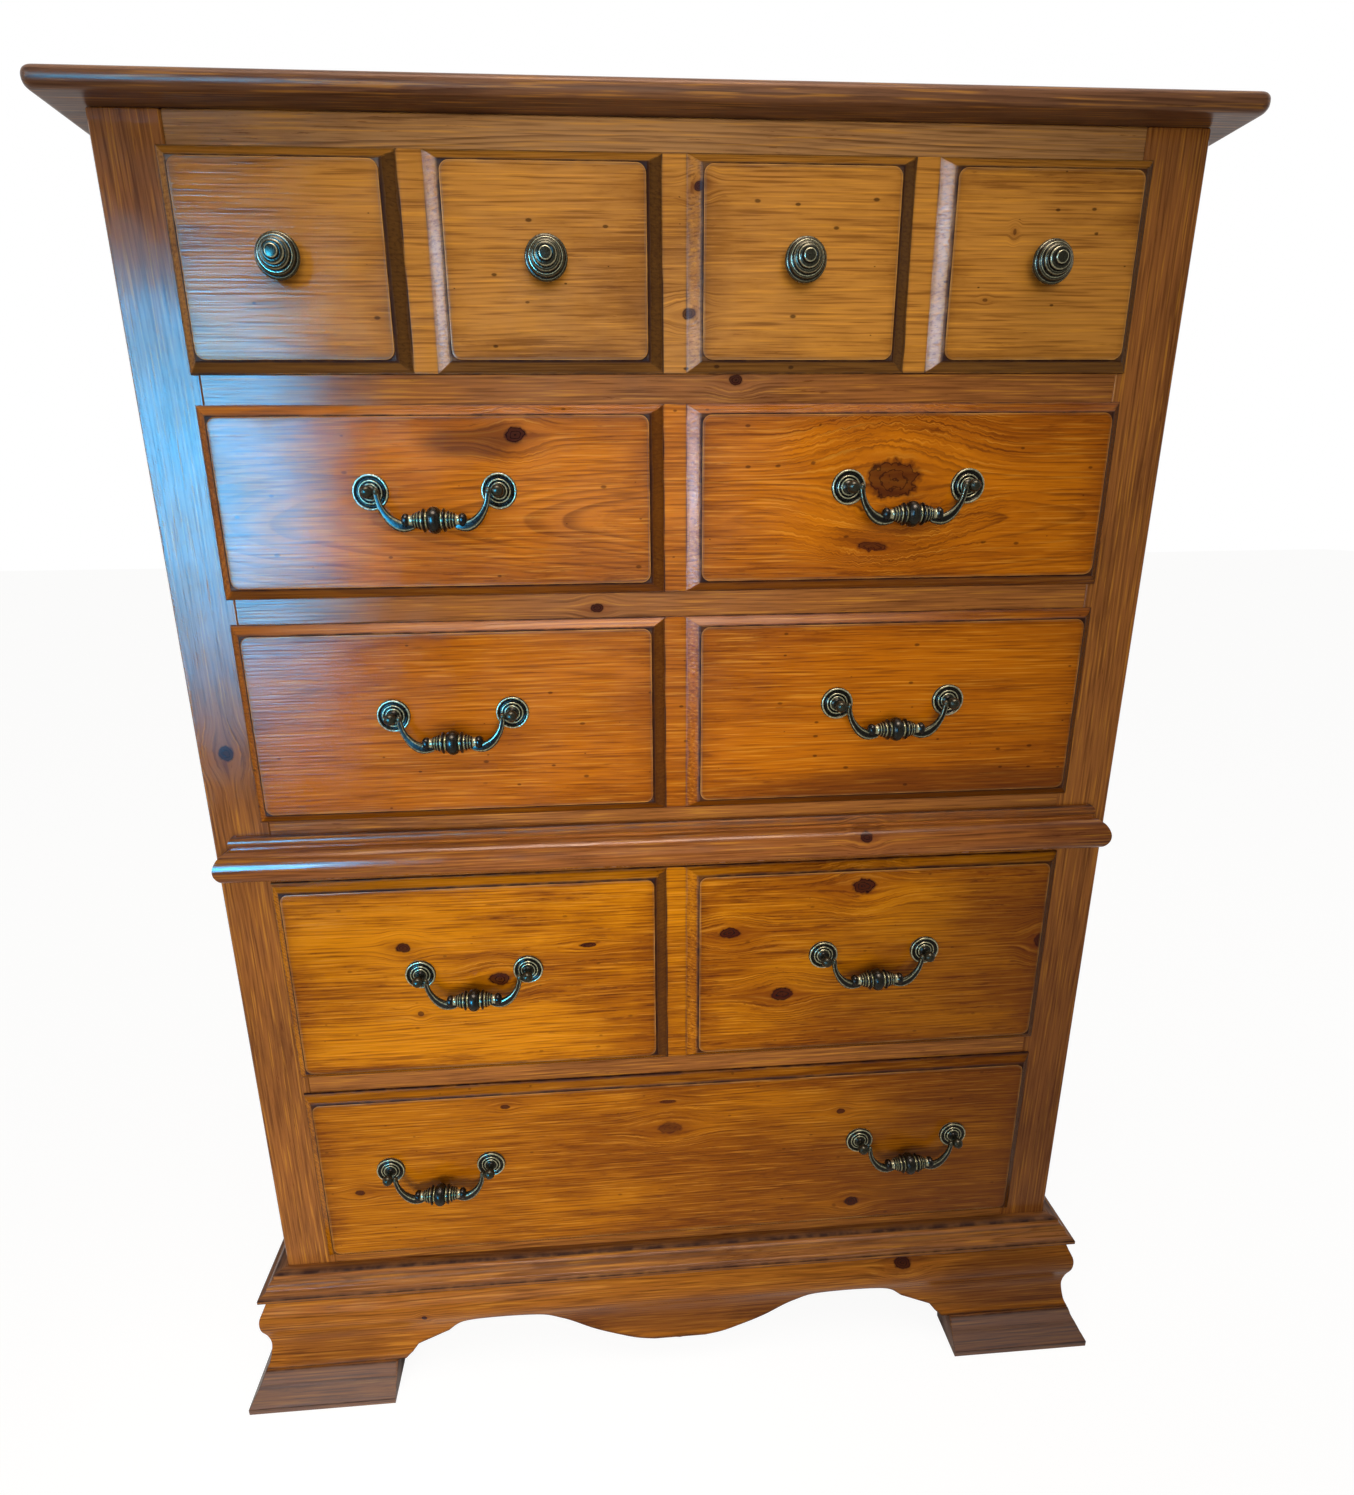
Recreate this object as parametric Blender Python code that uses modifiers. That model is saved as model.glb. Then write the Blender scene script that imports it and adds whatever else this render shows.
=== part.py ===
"""Tall stained-pine dresser of the chest-on-chest kind: five wide lipped drawers with raised panels,
bail pulls and knobs, a waist moulding, and an ogee bracket base with a scalloped apron.

Metres, +Z up, and the floor is z = 0. Every piece is placed from the front plane of the case, y = 0,
which faces -Y. A root empty then carries all of them forward, so that the middle of the whole dresser
is on the Z axis.
"""

import math

import bmesh
import bpy
from mathutils import Matrix, Vector

# Case
DRESSER_HEIGHT = 1.217
CASE_WIDTH = 0.838
CASE_DEPTH = 0.455
GAP = 0.0003
EASED_EDGE = 0.0012

# Heights from the floor up
BRACKET_HEIGHT = 0.1267
BOTTOM_RAIL_HEIGHT = 0.0407
TOP_RAIL_HEIGHT = 0.0295
RAIL_4_HEIGHT = 0.032
WAIST_RAIL_HEIGHT = 0.072
RAIL_2_HEIGHT = 0.033
RAIL_1_HEIGHT = 0.034
RAIL_HEIGHTS = {4: RAIL_4_HEIGHT, 3: WAIST_RAIL_HEIGHT, 2: RAIL_2_HEIGHT, 1: RAIL_1_HEIGHT}
OPENING_SHARES = {5: 0.23128, 4: 0.23847, 3: 0.19712, 2: 0.16537, 1: 0.16776}

# Boards of the case
STILE_WIDTH = 0.051
STILE_THICKNESS = 0.020
SIDE_THICKNESS = 0.018
BACK_THICKNESS = 0.006
BACK_RECESS = 0.004
RAIL_THICKNESS = 0.022
FRAME_THICKNESS = 0.020
FRAME_MEMBER_WIDTH = 0.070
DUST_PANEL_THICKNESS = 0.006

# Top board
TOP_THICKNESS = 0.014
TOP_OVERHANG = 0.028
TOP_BACK_OVERHANG = 0.002
BULLNOSE_SHARE = 0.45
BULLNOSE_SEGMENTS = 4

# Drawer fronts
LIP_OVERLAP = 0.006
LIP_STAND = 0.0030
FIELD_STAND = 0.010
FIELD_STEP = 0.0010
BEVEL_LEDGE = 0.0006
OUTER_BEVEL_WIDTH = 0.0085
STRIP_BEVEL_WIDTH = 0.0125
STRIP_WIDTH = 0.0184
OUTER_PANEL_WIDTH = 0.1692
FIELD_CORNER_RADIUS = 0.008
FIELD_CORNER_STEPS = 3
TONGUE_DEPTH = 0.0092
TONGUE_CLEARANCE = 0.002

# Drawer boxes
BOX_SIDE_CLEARANCE = 0.004
BOX_TOP_CLEARANCE = 0.013
BOX_BOARD_THICKNESS = 0.012
BOX_REAR_CLEARANCE = 0.035
PANEL_THICKNESS = 0.005
PANEL_RAISE = 0.009
GROOVE_DEPTH = 0.005

# Knobs
KNOB_RADIUS = 0.016
KNOB_LENGTH = 0.0272
KNOB_STEPS = 18

# Bail pulls
PULL_SPAN = 0.1016
PULL_RAISE = 0.009
PULL_SHIFT_OUT = 0.0012
LOWEST_PULL_RAISE = 0.012
LOWEST_PULL_INSET = 0.1295
ROSETTE_RADIUS = 0.0143
ROSETTE_RELIEF = 0.0032
ROSETTE_STEPS = 14
PIVOT_STAND = 0.014
STEM_RADIUS = 0.0032
HEAD_RADIUS = 0.0052
HEAD_HEIGHT = 0.0102
PIN_RADIUS = 0.0014
PIN_CLEARANCE = 0.0004
PIN_DEPTH = 0.0042
KNUCKLE_CLEARANCE = 0.0018
KNUCKLE_RADIUS = 0.0027
GRIP_DROP = 0.022
GRIP_HALF_LENGTH = 0.025
BULB_RADIUS = 0.011
FLANGE_RADIUS = 0.0064
BEAD_RADIUS = 0.0048
ROD_RADIUS = 0.0034
NECK_RADIUS = 0.0028
BAIL_SEGMENTS = 2

# Mouldings
WAIST_HEIGHT = 0.042
WAIST_STAND = 0.020
WAIST_RISE = 0.0113
WAIST_RETURN_INSET = 0.004
BASE_MOULDING_HEIGHT = 0.023
BASE_MOULDING_STAND = 0.0252

# Bracket base
BRACKET_BACKING = 0.004
FOOT_STAND = 0.0442
FOOT_TOE_HEIGHT = 0.0062
FOOT_BLOCK_HEIGHT = 0.039
FOOT_BLOCK_TOP_STAND = 0.027
FOOT_JOINT_DEPTH = 0.0018
COVE_STAND = 0.0205
BULGE_STAND = 0.0262
COLLAR_STAND = 0.0175
FRONT_FOOT_LENGTH = 0.109
SIDE_FOOT_LENGTH = 0.106
REAR_FOOT_LENGTH = 0.110
FOOT_INNER_SLANT = 0.010
PENDANT_HEIGHT = 0.030
STEP_HEIGHT = 0.0535
ARCH_HEIGHT = 0.0845
SIDE_ARCH_SHARE = 0.376569
CURVE_STEPS = 4

# Colours
STAINED_PINE = (0.30, 0.115, 0.030)
PANEL_PINE = (0.42, 0.170, 0.036)
DARK_PINE = (0.17, 0.060, 0.020)
DRAWER_WOOD = (0.62, 0.44, 0.26)
PLYWOOD = (0.52, 0.38, 0.24)
ANTIQUE_BRASS = (0.14, 0.13, 0.10)


def clear_scene():
    for thing in list(bpy.data.objects):
        bpy.data.objects.remove(thing, do_unlink=True)


def new_collection(name, hidden):
    collection = bpy.data.collections.new(name)
    bpy.context.scene.collection.children.link(collection)
    collection.hide_render = hidden
    return collection


def finish_material(name, colour, roughness, metallic):
    material = bpy.data.materials.new(name)
    material.use_nodes = True
    shader = material.node_tree.nodes["Principled BSDF"]
    shader.inputs["Base Color"].default_value = (*colour, 1.0)
    shader.inputs["Roughness"].default_value = roughness
    shader.inputs["Metallic"].default_value = metallic
    return material


class Workshop:
    """The collections and materials that every sub-part is made with."""

    def __init__(self):
        self.parts = new_collection("tall_dresser", hidden=False)
        self.cutters = new_collection("cutters", hidden=True)
        self.case = finish_material("stained_pine", STAINED_PINE, 0.32, 0.0)
        self.panel = finish_material("panel_pine", PANEL_PINE, 0.30, 0.0)
        self.moulding = finish_material("dark_pine", DARK_PINE, 0.30, 0.0)
        self.drawer = finish_material("drawer_wood", DRAWER_WOOD, 0.60, 0.0)
        self.ply = finish_material("plywood", PLYWOOD, 0.65, 0.0)
        self.brass = finish_material("antique_brass", ANTIQUE_BRASS, 0.38, 1.0)

    def add(self, name, data, material, location=(0.0, 0.0, 0.0)):
        thing = bpy.data.objects.new(name, data)
        thing.location = location
        if not data.materials:
            data.materials.append(material)
        self.parts.objects.link(thing)
        return thing

    def add_cutter(self, name, mesh, location=(0.0, 0.0, 0.0)):
        thing = bpy.data.objects.new(name, mesh)
        thing.location = location
        thing.hide_render = True
        thing.display_type = "WIRE"
        self.cutters.objects.link(thing)
        return thing


def mesh_from(name, bm):
    mesh = bpy.data.meshes.new(name)
    bm.to_mesh(mesh)
    bm.free()
    return mesh


def cuboid_mesh(name, low, high):
    """A cuboid about its own centre, and that centre."""
    low, high = Vector(low), Vector(high)
    bm = bmesh.new()
    bmesh.ops.create_cube(bm, size=1.0)
    bmesh.ops.scale(bm, vec=high - low, verts=bm.verts)
    return mesh_from(name, bm), (low + high) / 2


def board(shop, name, low, high, material, eased=EASED_EDGE):
    mesh, centre = cuboid_mesh(name, low, high)
    thing = shop.add(name, mesh, material, centre)
    if eased:
        bevel = thing.modifiers.new("eased edges", "BEVEL")
        bevel.width = eased
        bevel.segments = 1
        bevel.limit_method = "ANGLE"
    return thing


def cut_box(shop, name, low, high):
    mesh, centre = cuboid_mesh(name, low, high)
    return shop.add_cutter(name, mesh, centre)


def boolean(thing, other, operation):
    modifier = thing.modifiers.new(other.name, "BOOLEAN")
    modifier.operation = operation
    modifier.solver = "EXACT"
    modifier.object = other


def loft_mesh(name, rings):
    """A closed skin through rings of equally many points, with a flat cap at each end."""
    bm = bmesh.new()
    loops = [[bm.verts.new(point) for point in ring] for ring in rings]
    count = len(loops[0])
    for first, second in zip(loops, loops[1:]):
        for i in range(count):
            j = (i + 1) % count
            bm.faces.new((first[i], first[j], second[j], second[i]))
    bm.faces.new(loops[0])
    bm.faces.new(loops[-1])
    bmesh.ops.recalc_face_normals(bm, faces=bm.faces)
    return mesh_from(name, bm)


def turned_mesh(name, profile, steps):
    """Turns (radius, height) points, listed from the tip down, into a solid of revolution about local -Y."""
    bm = bmesh.new()
    verts = [bm.verts.new((radius, 0.0, height)) for radius, height in profile]
    for first, second in zip(verts, verts[1:]):
        bm.edges.new((first, second))
    thing = bpy.data.objects.new(name, mesh_from(name + "_profile", bm))
    bpy.context.scene.collection.objects.link(thing)
    screw = thing.modifiers.new("turning", "SCREW")
    screw.steps = steps
    screw.render_steps = steps
    screw.use_merge_vertices = True
    screw.merge_threshold = 0.00005
    mesh = realised(thing)
    mesh.transform(Matrix.Rotation(math.pi / 2, 4, "X"))
    return mesh


def realised(thing):
    """The mesh of an object with its modifiers applied. The object itself goes."""
    bpy.context.view_layer.update()
    graph = bpy.context.evaluated_depsgraph_get()
    mesh = bpy.data.meshes.new_from_object(thing.evaluated_get(graph))
    mesh.name = thing.name
    bpy.data.objects.remove(thing, do_unlink=True)
    return mesh


def smooth(mesh, degrees):
    mesh.shade_smooth()
    mesh.set_sharp_from_angle(angle=math.radians(degrees))


def smooth_path(points, steps):
    """Points of a Catmull-Rom curve through the given (u, z) points."""
    padded = [points[0], *points, points[-1]]
    out = []
    for a, b, c, d in zip(padded, padded[1:], padded[2:], padded[3:]):
        for k in range(steps):
            t = k / steps
            weights = (
                -0.5 * t**3 + t**2 - 0.5 * t,
                1.5 * t**3 - 2.5 * t**2 + 1.0,
                -1.5 * t**3 + 2.0 * t**2 + 0.5 * t,
                0.5 * t**3 - 0.5 * t**2,
            )
            out.append(tuple(sum(w * p[i] for w, p in zip(weights, (a, b, c, d))) for i in (0, 1)))
    out.append(tuple(points[-1]))
    return out


def half_width():
    return CASE_WIDTH / 2


def case_bottom():
    return BRACKET_HEIGHT + GAP


def case_top():
    return DRESSER_HEIGHT - TOP_THICKNESS - GAP


def openings():
    """(bottom, top) of each drawer opening, by drawer number, counted from the top."""
    found = {}
    height = case_bottom() + BOTTOM_RAIL_HEIGHT
    rails = sum(RAIL_HEIGHTS.values())
    room = case_top() - TOP_RAIL_HEIGHT - rails - height
    for row in (5, 4, 3, 2, 1):
        opening = OPENING_SHARES[row] * room
        found[row] = (height, height + opening)
        height += opening + RAIL_HEIGHTS.get(row - 1, 0.0)
    return found


def opening_half_width():
    return half_width() - STILE_WIDTH


def back_face():
    """Where the hidden back panel starts, seen from inside the case."""
    return CASE_DEPTH - BACK_RECESS - BACK_THICKNESS


def on_profile(shares, stand, low, height):
    """Points (stand, height) of a moulding from shares of its greatest stand and of its height."""
    return [(along * stand, low + up * height) for along, up in shares]


# Case boards

def make_top_board(shop):
    half = half_width() + TOP_OVERHANG
    low = Vector((-half, -TOP_OVERHANG, case_top() + GAP))
    high = Vector((half, CASE_DEPTH + TOP_BACK_OVERHANG, case_top() + GAP + TOP_THICKNESS))
    mesh, centre = cuboid_mesh("top_board", low, high)
    bm = bmesh.new()
    bm.from_mesh(mesh)
    rounded = [edge for edge in bm.edges if is_bullnosed(edge)]
    bmesh.ops.bevel(
        bm,
        geom=rounded,
        offset=BULLNOSE_SHARE * TOP_THICKNESS,
        segments=BULLNOSE_SEGMENTS,
        profile=0.5,
        affect="EDGES",
    )
    bm.to_mesh(mesh)
    bm.free()
    smooth(mesh, 35)
    shop.add("top_board", mesh, shop.case, centre)


def is_bullnosed(edge):
    """The long level edges of the front and of both ends, but not those of the back."""
    first, second = (vert.co for vert in edge.verts)
    level = abs(first.z - second.z) < GAP
    at_back = first.y > 0 and second.y > 0
    return level and not at_back


def make_uprights(shop):
    half = half_width()
    for side, sign in (("left", -1), ("right", 1)):
        outer, inner = sign * half, sign * opening_half_width()
        board(
            shop,
            "stile_" + side,
            (min(outer, inner), 0.0, case_bottom()),
            (max(outer, inner), STILE_THICKNESS, case_top()),
            shop.case,
        )
        inner = sign * (half - SIDE_THICKNESS)
        board(
            shop,
            "side_" + side,
            (min(outer, inner), STILE_THICKNESS + GAP, case_bottom()),
            (max(outer, inner), CASE_DEPTH, case_top()),
            shop.case,
        )


def make_back(shop):
    half = half_width() - SIDE_THICKNESS - GAP
    board(
        shop,
        "back_panel",
        (-half, back_face(), case_bottom()),
        (half, back_face() + BACK_THICKNESS, case_top()),
        shop.ply,
        eased=0.0,
    )


def make_top_rail(shop):
    half = opening_half_width() - GAP
    low = (-half, 0.0, case_top() - TOP_RAIL_HEIGHT)
    board(shop, "top_rail", low, (half, RAIL_THICKNESS, case_top()), shop.case)


def make_frame(shop, name, bottom, top):
    """A web frame: the rail seen between two drawers, the members the drawer runs on, and a thin dust panel."""
    rail_half = opening_half_width() - GAP
    frame_half = half_width() - SIDE_THICKNESS - GAP
    rear = back_face() - GAP
    under = top - FRAME_THICKNESS
    low, high = (-rail_half, 0.0, bottom), (rail_half, RAIL_THICKNESS, top)
    frame = board(shop, name, low, high, shop.case, eased=0.0)
    front_edge = STILE_THICKNESS + GAP
    web = cut_box(shop, name + "_web", (-frame_half, front_edge, under), (frame_half, rear, top))
    boolean(frame, web, "UNION")
    pocket_x = frame_half - FRAME_MEMBER_WIDTH
    pocket_y = (front_edge + FRAME_MEMBER_WIDTH, rear - FRAME_MEMBER_WIDTH)
    panel_low = under + (FRAME_THICKNESS - DUST_PANEL_THICKNESS) / 2
    panel_high = panel_low + DUST_PANEL_THICKNESS
    margin = FRAME_THICKNESS
    for label, low, high in (
        ("upper", panel_high, top + margin),
        ("lower", under - margin, panel_low),
    ):
        pocket = cut_box(
            shop,
            f"{name}_{label}_pocket",
            (-pocket_x, pocket_y[0], low),
            (pocket_x, pocket_y[1], high),
        )
        boolean(frame, pocket, "DIFFERENCE")


def make_frames(shop):
    spans = openings()
    for row in (1, 2, 3, 4):
        make_frame(shop, f"frame_{row}", spans[row + 1][1], spans[row][0])
    make_frame(shop, "bottom_frame", case_bottom(), spans[5][0])


# Mouldings

def waist_profile():
    """(stand, height) of the half round and the bead above it, from its foot to its top."""
    low = openings()[4][1] + WAIST_RISE
    half_round = [
        (0.400, 0.000),
        (0.775, 0.083),
        (0.950, 0.214),
        (1.000, 0.357),
        (0.940, 0.500),
        (0.775, 0.631),
        (0.525, 0.714),
        (0.340, 0.738),
    ]
    bead = [(0.310, 0.774), (0.390, 0.833), (0.390, 0.929), (0.290, 1.000)]
    face = on_profile([*half_round, *bead], WAIST_STAND, low, WAIST_HEIGHT)
    return [(GAP, low), *face, (GAP, low + WAIST_HEIGHT)]


def make_waist_moulding(shop):
    """The moulding is planted on the front only, and each end turns back to the stile."""
    start = half_width() - WAIST_RETURN_INSET - WAIST_STAND
    profile = waist_profile()
    rings = [
        [(-start - stand, -GAP, z) for stand, z in profile],
        [(-start - stand, -GAP - stand, z) for stand, z in profile],
        [(start + stand, -GAP - stand, z) for stand, z in profile],
        [(start + stand, -GAP, z) for stand, z in profile],
    ]
    mesh = loft_mesh("waist_moulding", rings)
    smooth(mesh, 40)
    shop.add("waist_moulding", mesh, shop.moulding)


def base_moulding_profile():
    """(stand, height) from the foot of the moulding outwards and up over its stepped cove."""
    low = case_bottom()
    stepped_cove = [
        (0.952, 0.000),
        (1.000, 0.052),
        (1.000, 0.196),
        (0.937, 0.270),
        (0.794, 0.313),
        (0.706, 0.435),
        (0.659, 0.587),
        (0.556, 0.730),
        (0.444, 0.783),
        (0.444, 0.948),
        (0.397, 1.000),
    ]
    face = on_profile(stepped_cove, BASE_MOULDING_STAND, low, BASE_MOULDING_HEIGHT)
    return [(GAP, low), *face, (GAP, low + BASE_MOULDING_HEIGHT)]


def u_path_rings(profile, back):
    """Rings of a moulding mitred round the two front corners of the case."""
    half = half_width()
    return [
        [(-half - stand, back, z) for stand, z in profile],
        [(-half - stand, -stand, z) for stand, z in profile],
        [(half + stand, -stand, z) for stand, z in profile],
        [(half + stand, back, z) for stand, z in profile],
    ]


def make_base_moulding(shop):
    mesh = loft_mesh("base_moulding", u_path_rings(base_moulding_profile(), CASE_DEPTH))
    smooth(mesh, 40)
    shop.add("base_moulding", mesh, shop.moulding)


def bracket_profile():
    """(stand, height): the flared foot block, the cove and the bulge, from the floor up."""
    flare = FOOT_STAND - FOOT_BLOCK_TOP_STAND
    above_toe = FOOT_BLOCK_HEIGHT - FOOT_TOE_HEIGHT
    block_shares = [(0.90, 0.07), (0.41, 0.56), (0.28, 0.63), (0.08, 0.94), (0.0, 0.98)]
    block = [
        (FOOT_BLOCK_TOP_STAND + out * flare, FOOT_TOE_HEIGHT + up * above_toe)
        for out, up in block_shares
    ]
    toe = [(FOOT_STAND, 0.0), (FOOT_STAND, FOOT_TOE_HEIGHT)]
    joint = (FOOT_BLOCK_TOP_STAND - FOOT_JOINT_DEPTH, FOOT_BLOCK_HEIGHT)
    rise = BRACKET_HEIGHT - FOOT_BLOCK_HEIGHT
    near_cove = 0.55 * COVE_STAND + 0.45 * FOOT_BLOCK_TOP_STAND
    past_cove = 0.70 * COVE_STAND + 0.30 * BULGE_STAND
    near_collar = 0.54 * COLLAR_STAND + 0.46 * BULGE_STAND
    ogee_shares = [
        (FOOT_BLOCK_TOP_STAND, 0.009),
        (near_cove, 0.103),
        (COVE_STAND, 0.308),
        (past_cove, 0.468),
        (BULGE_STAND, 0.616),
        (BULGE_STAND, 0.764),
        (near_collar, 0.889),
        (COLLAR_STAND, 1.0),
    ]
    ogee = smooth_path([(out, FOOT_BLOCK_HEIGHT + up * rise) for out, up in ogee_shares], 2)
    inner = [(-BRACKET_BACKING, BRACKET_HEIGHT), (-BRACKET_BACKING, 0.0)]
    return [*toe, *block, joint, *ogee, *inner]


def front_foot_inner():
    """Distance from the middle to the inner edge of a front foot, at the floor."""
    return half_width() - FRONT_FOOT_LENGTH


def apron_half_outline():
    """(distance from the middle, height) from the pendant to the step above the foot."""
    reach = front_foot_inner()
    drop = ARCH_HEIGHT - PENDANT_HEIGHT
    scallop_shares = [
        (0.000, 0.000),
        (0.090, 0.028),
        (0.187, 0.119),
        (0.306, 0.367),
        (0.413, 0.725),
        (0.490, 0.945),
        (0.632, 1.000),
        (0.752, 0.917),
        (0.813, 0.615),
    ]
    scallop = smooth_path(
        [(along * reach, PENDANT_HEIGHT + up * drop) for along, up in scallop_shares],
        CURVE_STEPS,
    )
    above_foot = STEP_HEIGHT - FOOT_BLOCK_HEIGHT
    step_shares = [(0.865, 1.45), (0.919, 1.0), (0.940, 0.45)]
    step = [(along * reach, FOOT_BLOCK_HEIGHT + up * above_foot) for along, up in step_shares]
    return [*scallop, *step]


def outline_cutter(shop, name, outline, depth_low, depth_high, along_y):
    """A prism of an outline given as (u, z), which runs through the bracket it cuts."""
    curve = bpy.data.curves.new(name, "CURVE")
    curve.dimensions = "2D"
    curve.fill_mode = "BOTH"
    curve.extrude = (depth_high - depth_low) / 2
    spline = curve.splines.new("POLY")
    spline.points.add(len(outline) - 1)
    for point, (u, z) in zip(spline.points, outline):
        point.co = (u, z, 0.0, 1.0)
    spline.use_cyclic_u = True
    thing = bpy.data.objects.new(name, curve)
    bpy.context.scene.collection.objects.link(thing)
    mesh = realised(thing)
    mesh.transform(Matrix.Rotation(math.pi / 2, 4, "X"))
    middle = (depth_low + depth_high) / 2
    location = (0.0, middle, 0.0)
    if along_y:
        mesh.transform(Matrix.Rotation(math.pi / 2, 4, "Z"))
        location = (middle, 0.0, 0.0)
    bm = bmesh.new()
    bm.from_mesh(mesh)
    bmesh.ops.remove_doubles(bm, verts=bm.verts, dist=0.00001)
    bmesh.ops.recalc_face_normals(bm, faces=bm.faces)
    bm.to_mesh(mesh)
    bm.free()
    return shop.add_cutter(name, mesh, location)


def make_front_bracket(shop):
    profile = bracket_profile()
    half = half_width()
    rings = [
        [(sign * (half + stand - GAP), -stand, z) for stand, z in profile] for sign in (-1, 1)
    ]
    mesh = loft_mesh("bracket_front", rings)
    smooth(mesh, 30)
    bracket = shop.add("bracket_front", mesh, shop.moulding)
    foot = front_foot_inner()
    side = [*apron_half_outline(), (foot - FOOT_INNER_SLANT, FOOT_BLOCK_HEIGHT), (foot, 0.0)]
    right = [*side, (foot + FOOT_INNER_SLANT, -FOOT_BLOCK_HEIGHT)]
    left = [(-u, z) for u, z in reversed(right)]
    outline = [*left, *right[1:]]
    before, behind = -2 * FOOT_STAND, FOOT_STAND
    cutter = outline_cutter(shop, "apron_front_cut", outline, before, behind, along_y=False)
    boolean(bracket, cutter, "DIFFERENCE")


def side_apron_outline():
    """(y, z): a shallower arch between the front and rear feet, stepped like the front one."""
    front, rear = SIDE_FOOT_LENGTH, CASE_DEPTH - REAR_FOOT_LENGTH
    above_foot = STEP_HEIGHT - FOOT_BLOCK_HEIGHT
    arch_rise = ARCH_HEIGHT - STEP_HEIGHT
    run = SIDE_ARCH_SHARE * (rear - front)
    block = [(-0.9 * FOOT_INNER_SLANT, -FOOT_BLOCK_HEIGHT), (0.0, 0.0)]
    block.append((0.9 * FOOT_INNER_SLANT, FOOT_BLOCK_HEIGHT))
    step = [(0.21 * run, FOOT_BLOCK_HEIGHT + 0.45 * above_foot), (0.33 * run, STEP_HEIGHT)]
    arch_shares = [(0.58, 0.32), (0.71, 0.76), (1.0, 1.0)]
    arch = [(along * run, STEP_HEIGHT + up * arch_rise) for along, up in arch_shares]
    low = [*block, *step, *smooth_path(arch, CURVE_STEPS)]
    near = [(front + u, z) for u, z in low]
    far = [(rear - u, z) for u, z in reversed(low)]
    return [*near, *far]


def make_side_brackets(shop):
    profile = bracket_profile()
    half = half_width()
    for side, sign in (("left", -1), ("right", 1)):
        rings = [
            [(sign * (half + stand), -stand + GAP, z) for stand, z in profile],
            [(sign * (half + stand), CASE_DEPTH, z) for stand, z in profile],
        ]
        mesh = loft_mesh("bracket_" + side, rings)
        smooth(mesh, 30)
        bracket = shop.add("bracket_" + side, mesh, shop.moulding)
        inside, outside = half - FOOT_STAND, half + 2 * FOOT_STAND
        low, high = sorted((sign * inside, sign * outside))
        outline = side_apron_outline()
        cutter = outline_cutter(shop, f"apron_{side}_cut", outline, low, high, along_y=True)
        boolean(bracket, cutter, "DIFFERENCE")


# Drawers

def rounded_outline(low, high, radius, y):
    """Points of a rectangle in the plane y with round corners, anticlockwise as seen from the front."""
    centres = (
        (low[0] + radius, low[1] + radius, math.pi),
        (high[0] - radius, low[1] + radius, 1.5 * math.pi),
        (high[0] - radius, high[1] - radius, 0.0),
        (low[0] + radius, high[1] - radius, 0.5 * math.pi),
    )
    points = []
    for x, z, start in centres:
        for k in range(FIELD_CORNER_STEPS + 1):
            angle = start + 0.5 * math.pi * k / FIELD_CORNER_STEPS
            points.append((x + radius * math.cos(angle), y, z + radius * math.sin(angle)))
    return points


def raised_panel_mesh(name, low, high, bevels):
    """A panel between two (x, z) corners: bevels left and right, bevels above and below, then the stepped field."""
    field_low = (low[0] + bevels[0], low[1] + OUTER_BEVEL_WIDTH)
    field_high = (high[0] - bevels[1], high[1] - OUTER_BEVEL_WIDTH)
    sharp = BEVEL_LEDGE
    step = BEVEL_LEDGE
    step_low = (field_low[0] - step, field_low[1] - step)
    step_high = (field_high[0] + step, field_high[1] + step)
    rings = [
        rounded_outline(low, high, sharp, -LIP_STAND / 2),
        rounded_outline(low, high, sharp, -LIP_STAND),
        rounded_outline(step_low, step_high, FIELD_CORNER_RADIUS, -FIELD_STAND + FIELD_STEP),
        rounded_outline(field_low, field_high, FIELD_CORNER_RADIUS, -FIELD_STAND),
    ]
    return loft_mesh(name, rings)


def strip_centres(row):
    """Where the vertical strips of a drawer front stand, from left to right."""
    if row == 5:
        return ()
    if row != 1:
        return (0.0,)
    outer = panel_end() - OUTER_PANEL_WIDTH - STRIP_WIDTH / 2
    return (-outer, 0.0, outer)


def panel_end():
    return opening_half_width() + LIP_OVERLAP - BEVEL_LEDGE


def panel_spans(row):
    """(left edge, right edge, left bevel, right bevel) of each raised panel of a drawer front."""
    edges = [(-panel_end(), OUTER_BEVEL_WIDTH)]
    for centre in strip_centres(row):
        edges.append((centre - STRIP_WIDTH / 2, STRIP_BEVEL_WIDTH))
        edges.append((centre + STRIP_WIDTH / 2, STRIP_BEVEL_WIDTH))
    edges.append((panel_end(), OUTER_BEVEL_WIDTH))
    pairs = zip(edges[0::2], edges[1::2])
    return [(left[0], right[0], left[1], right[1]) for left, right in pairs]


def field_centres(row):
    """The middle of each raised field of a drawer front, from left to right."""
    return [
        (left + left_bevel + right - right_bevel) / 2
        for left, right, left_bevel, right_bevel in panel_spans(row)
    ]


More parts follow.
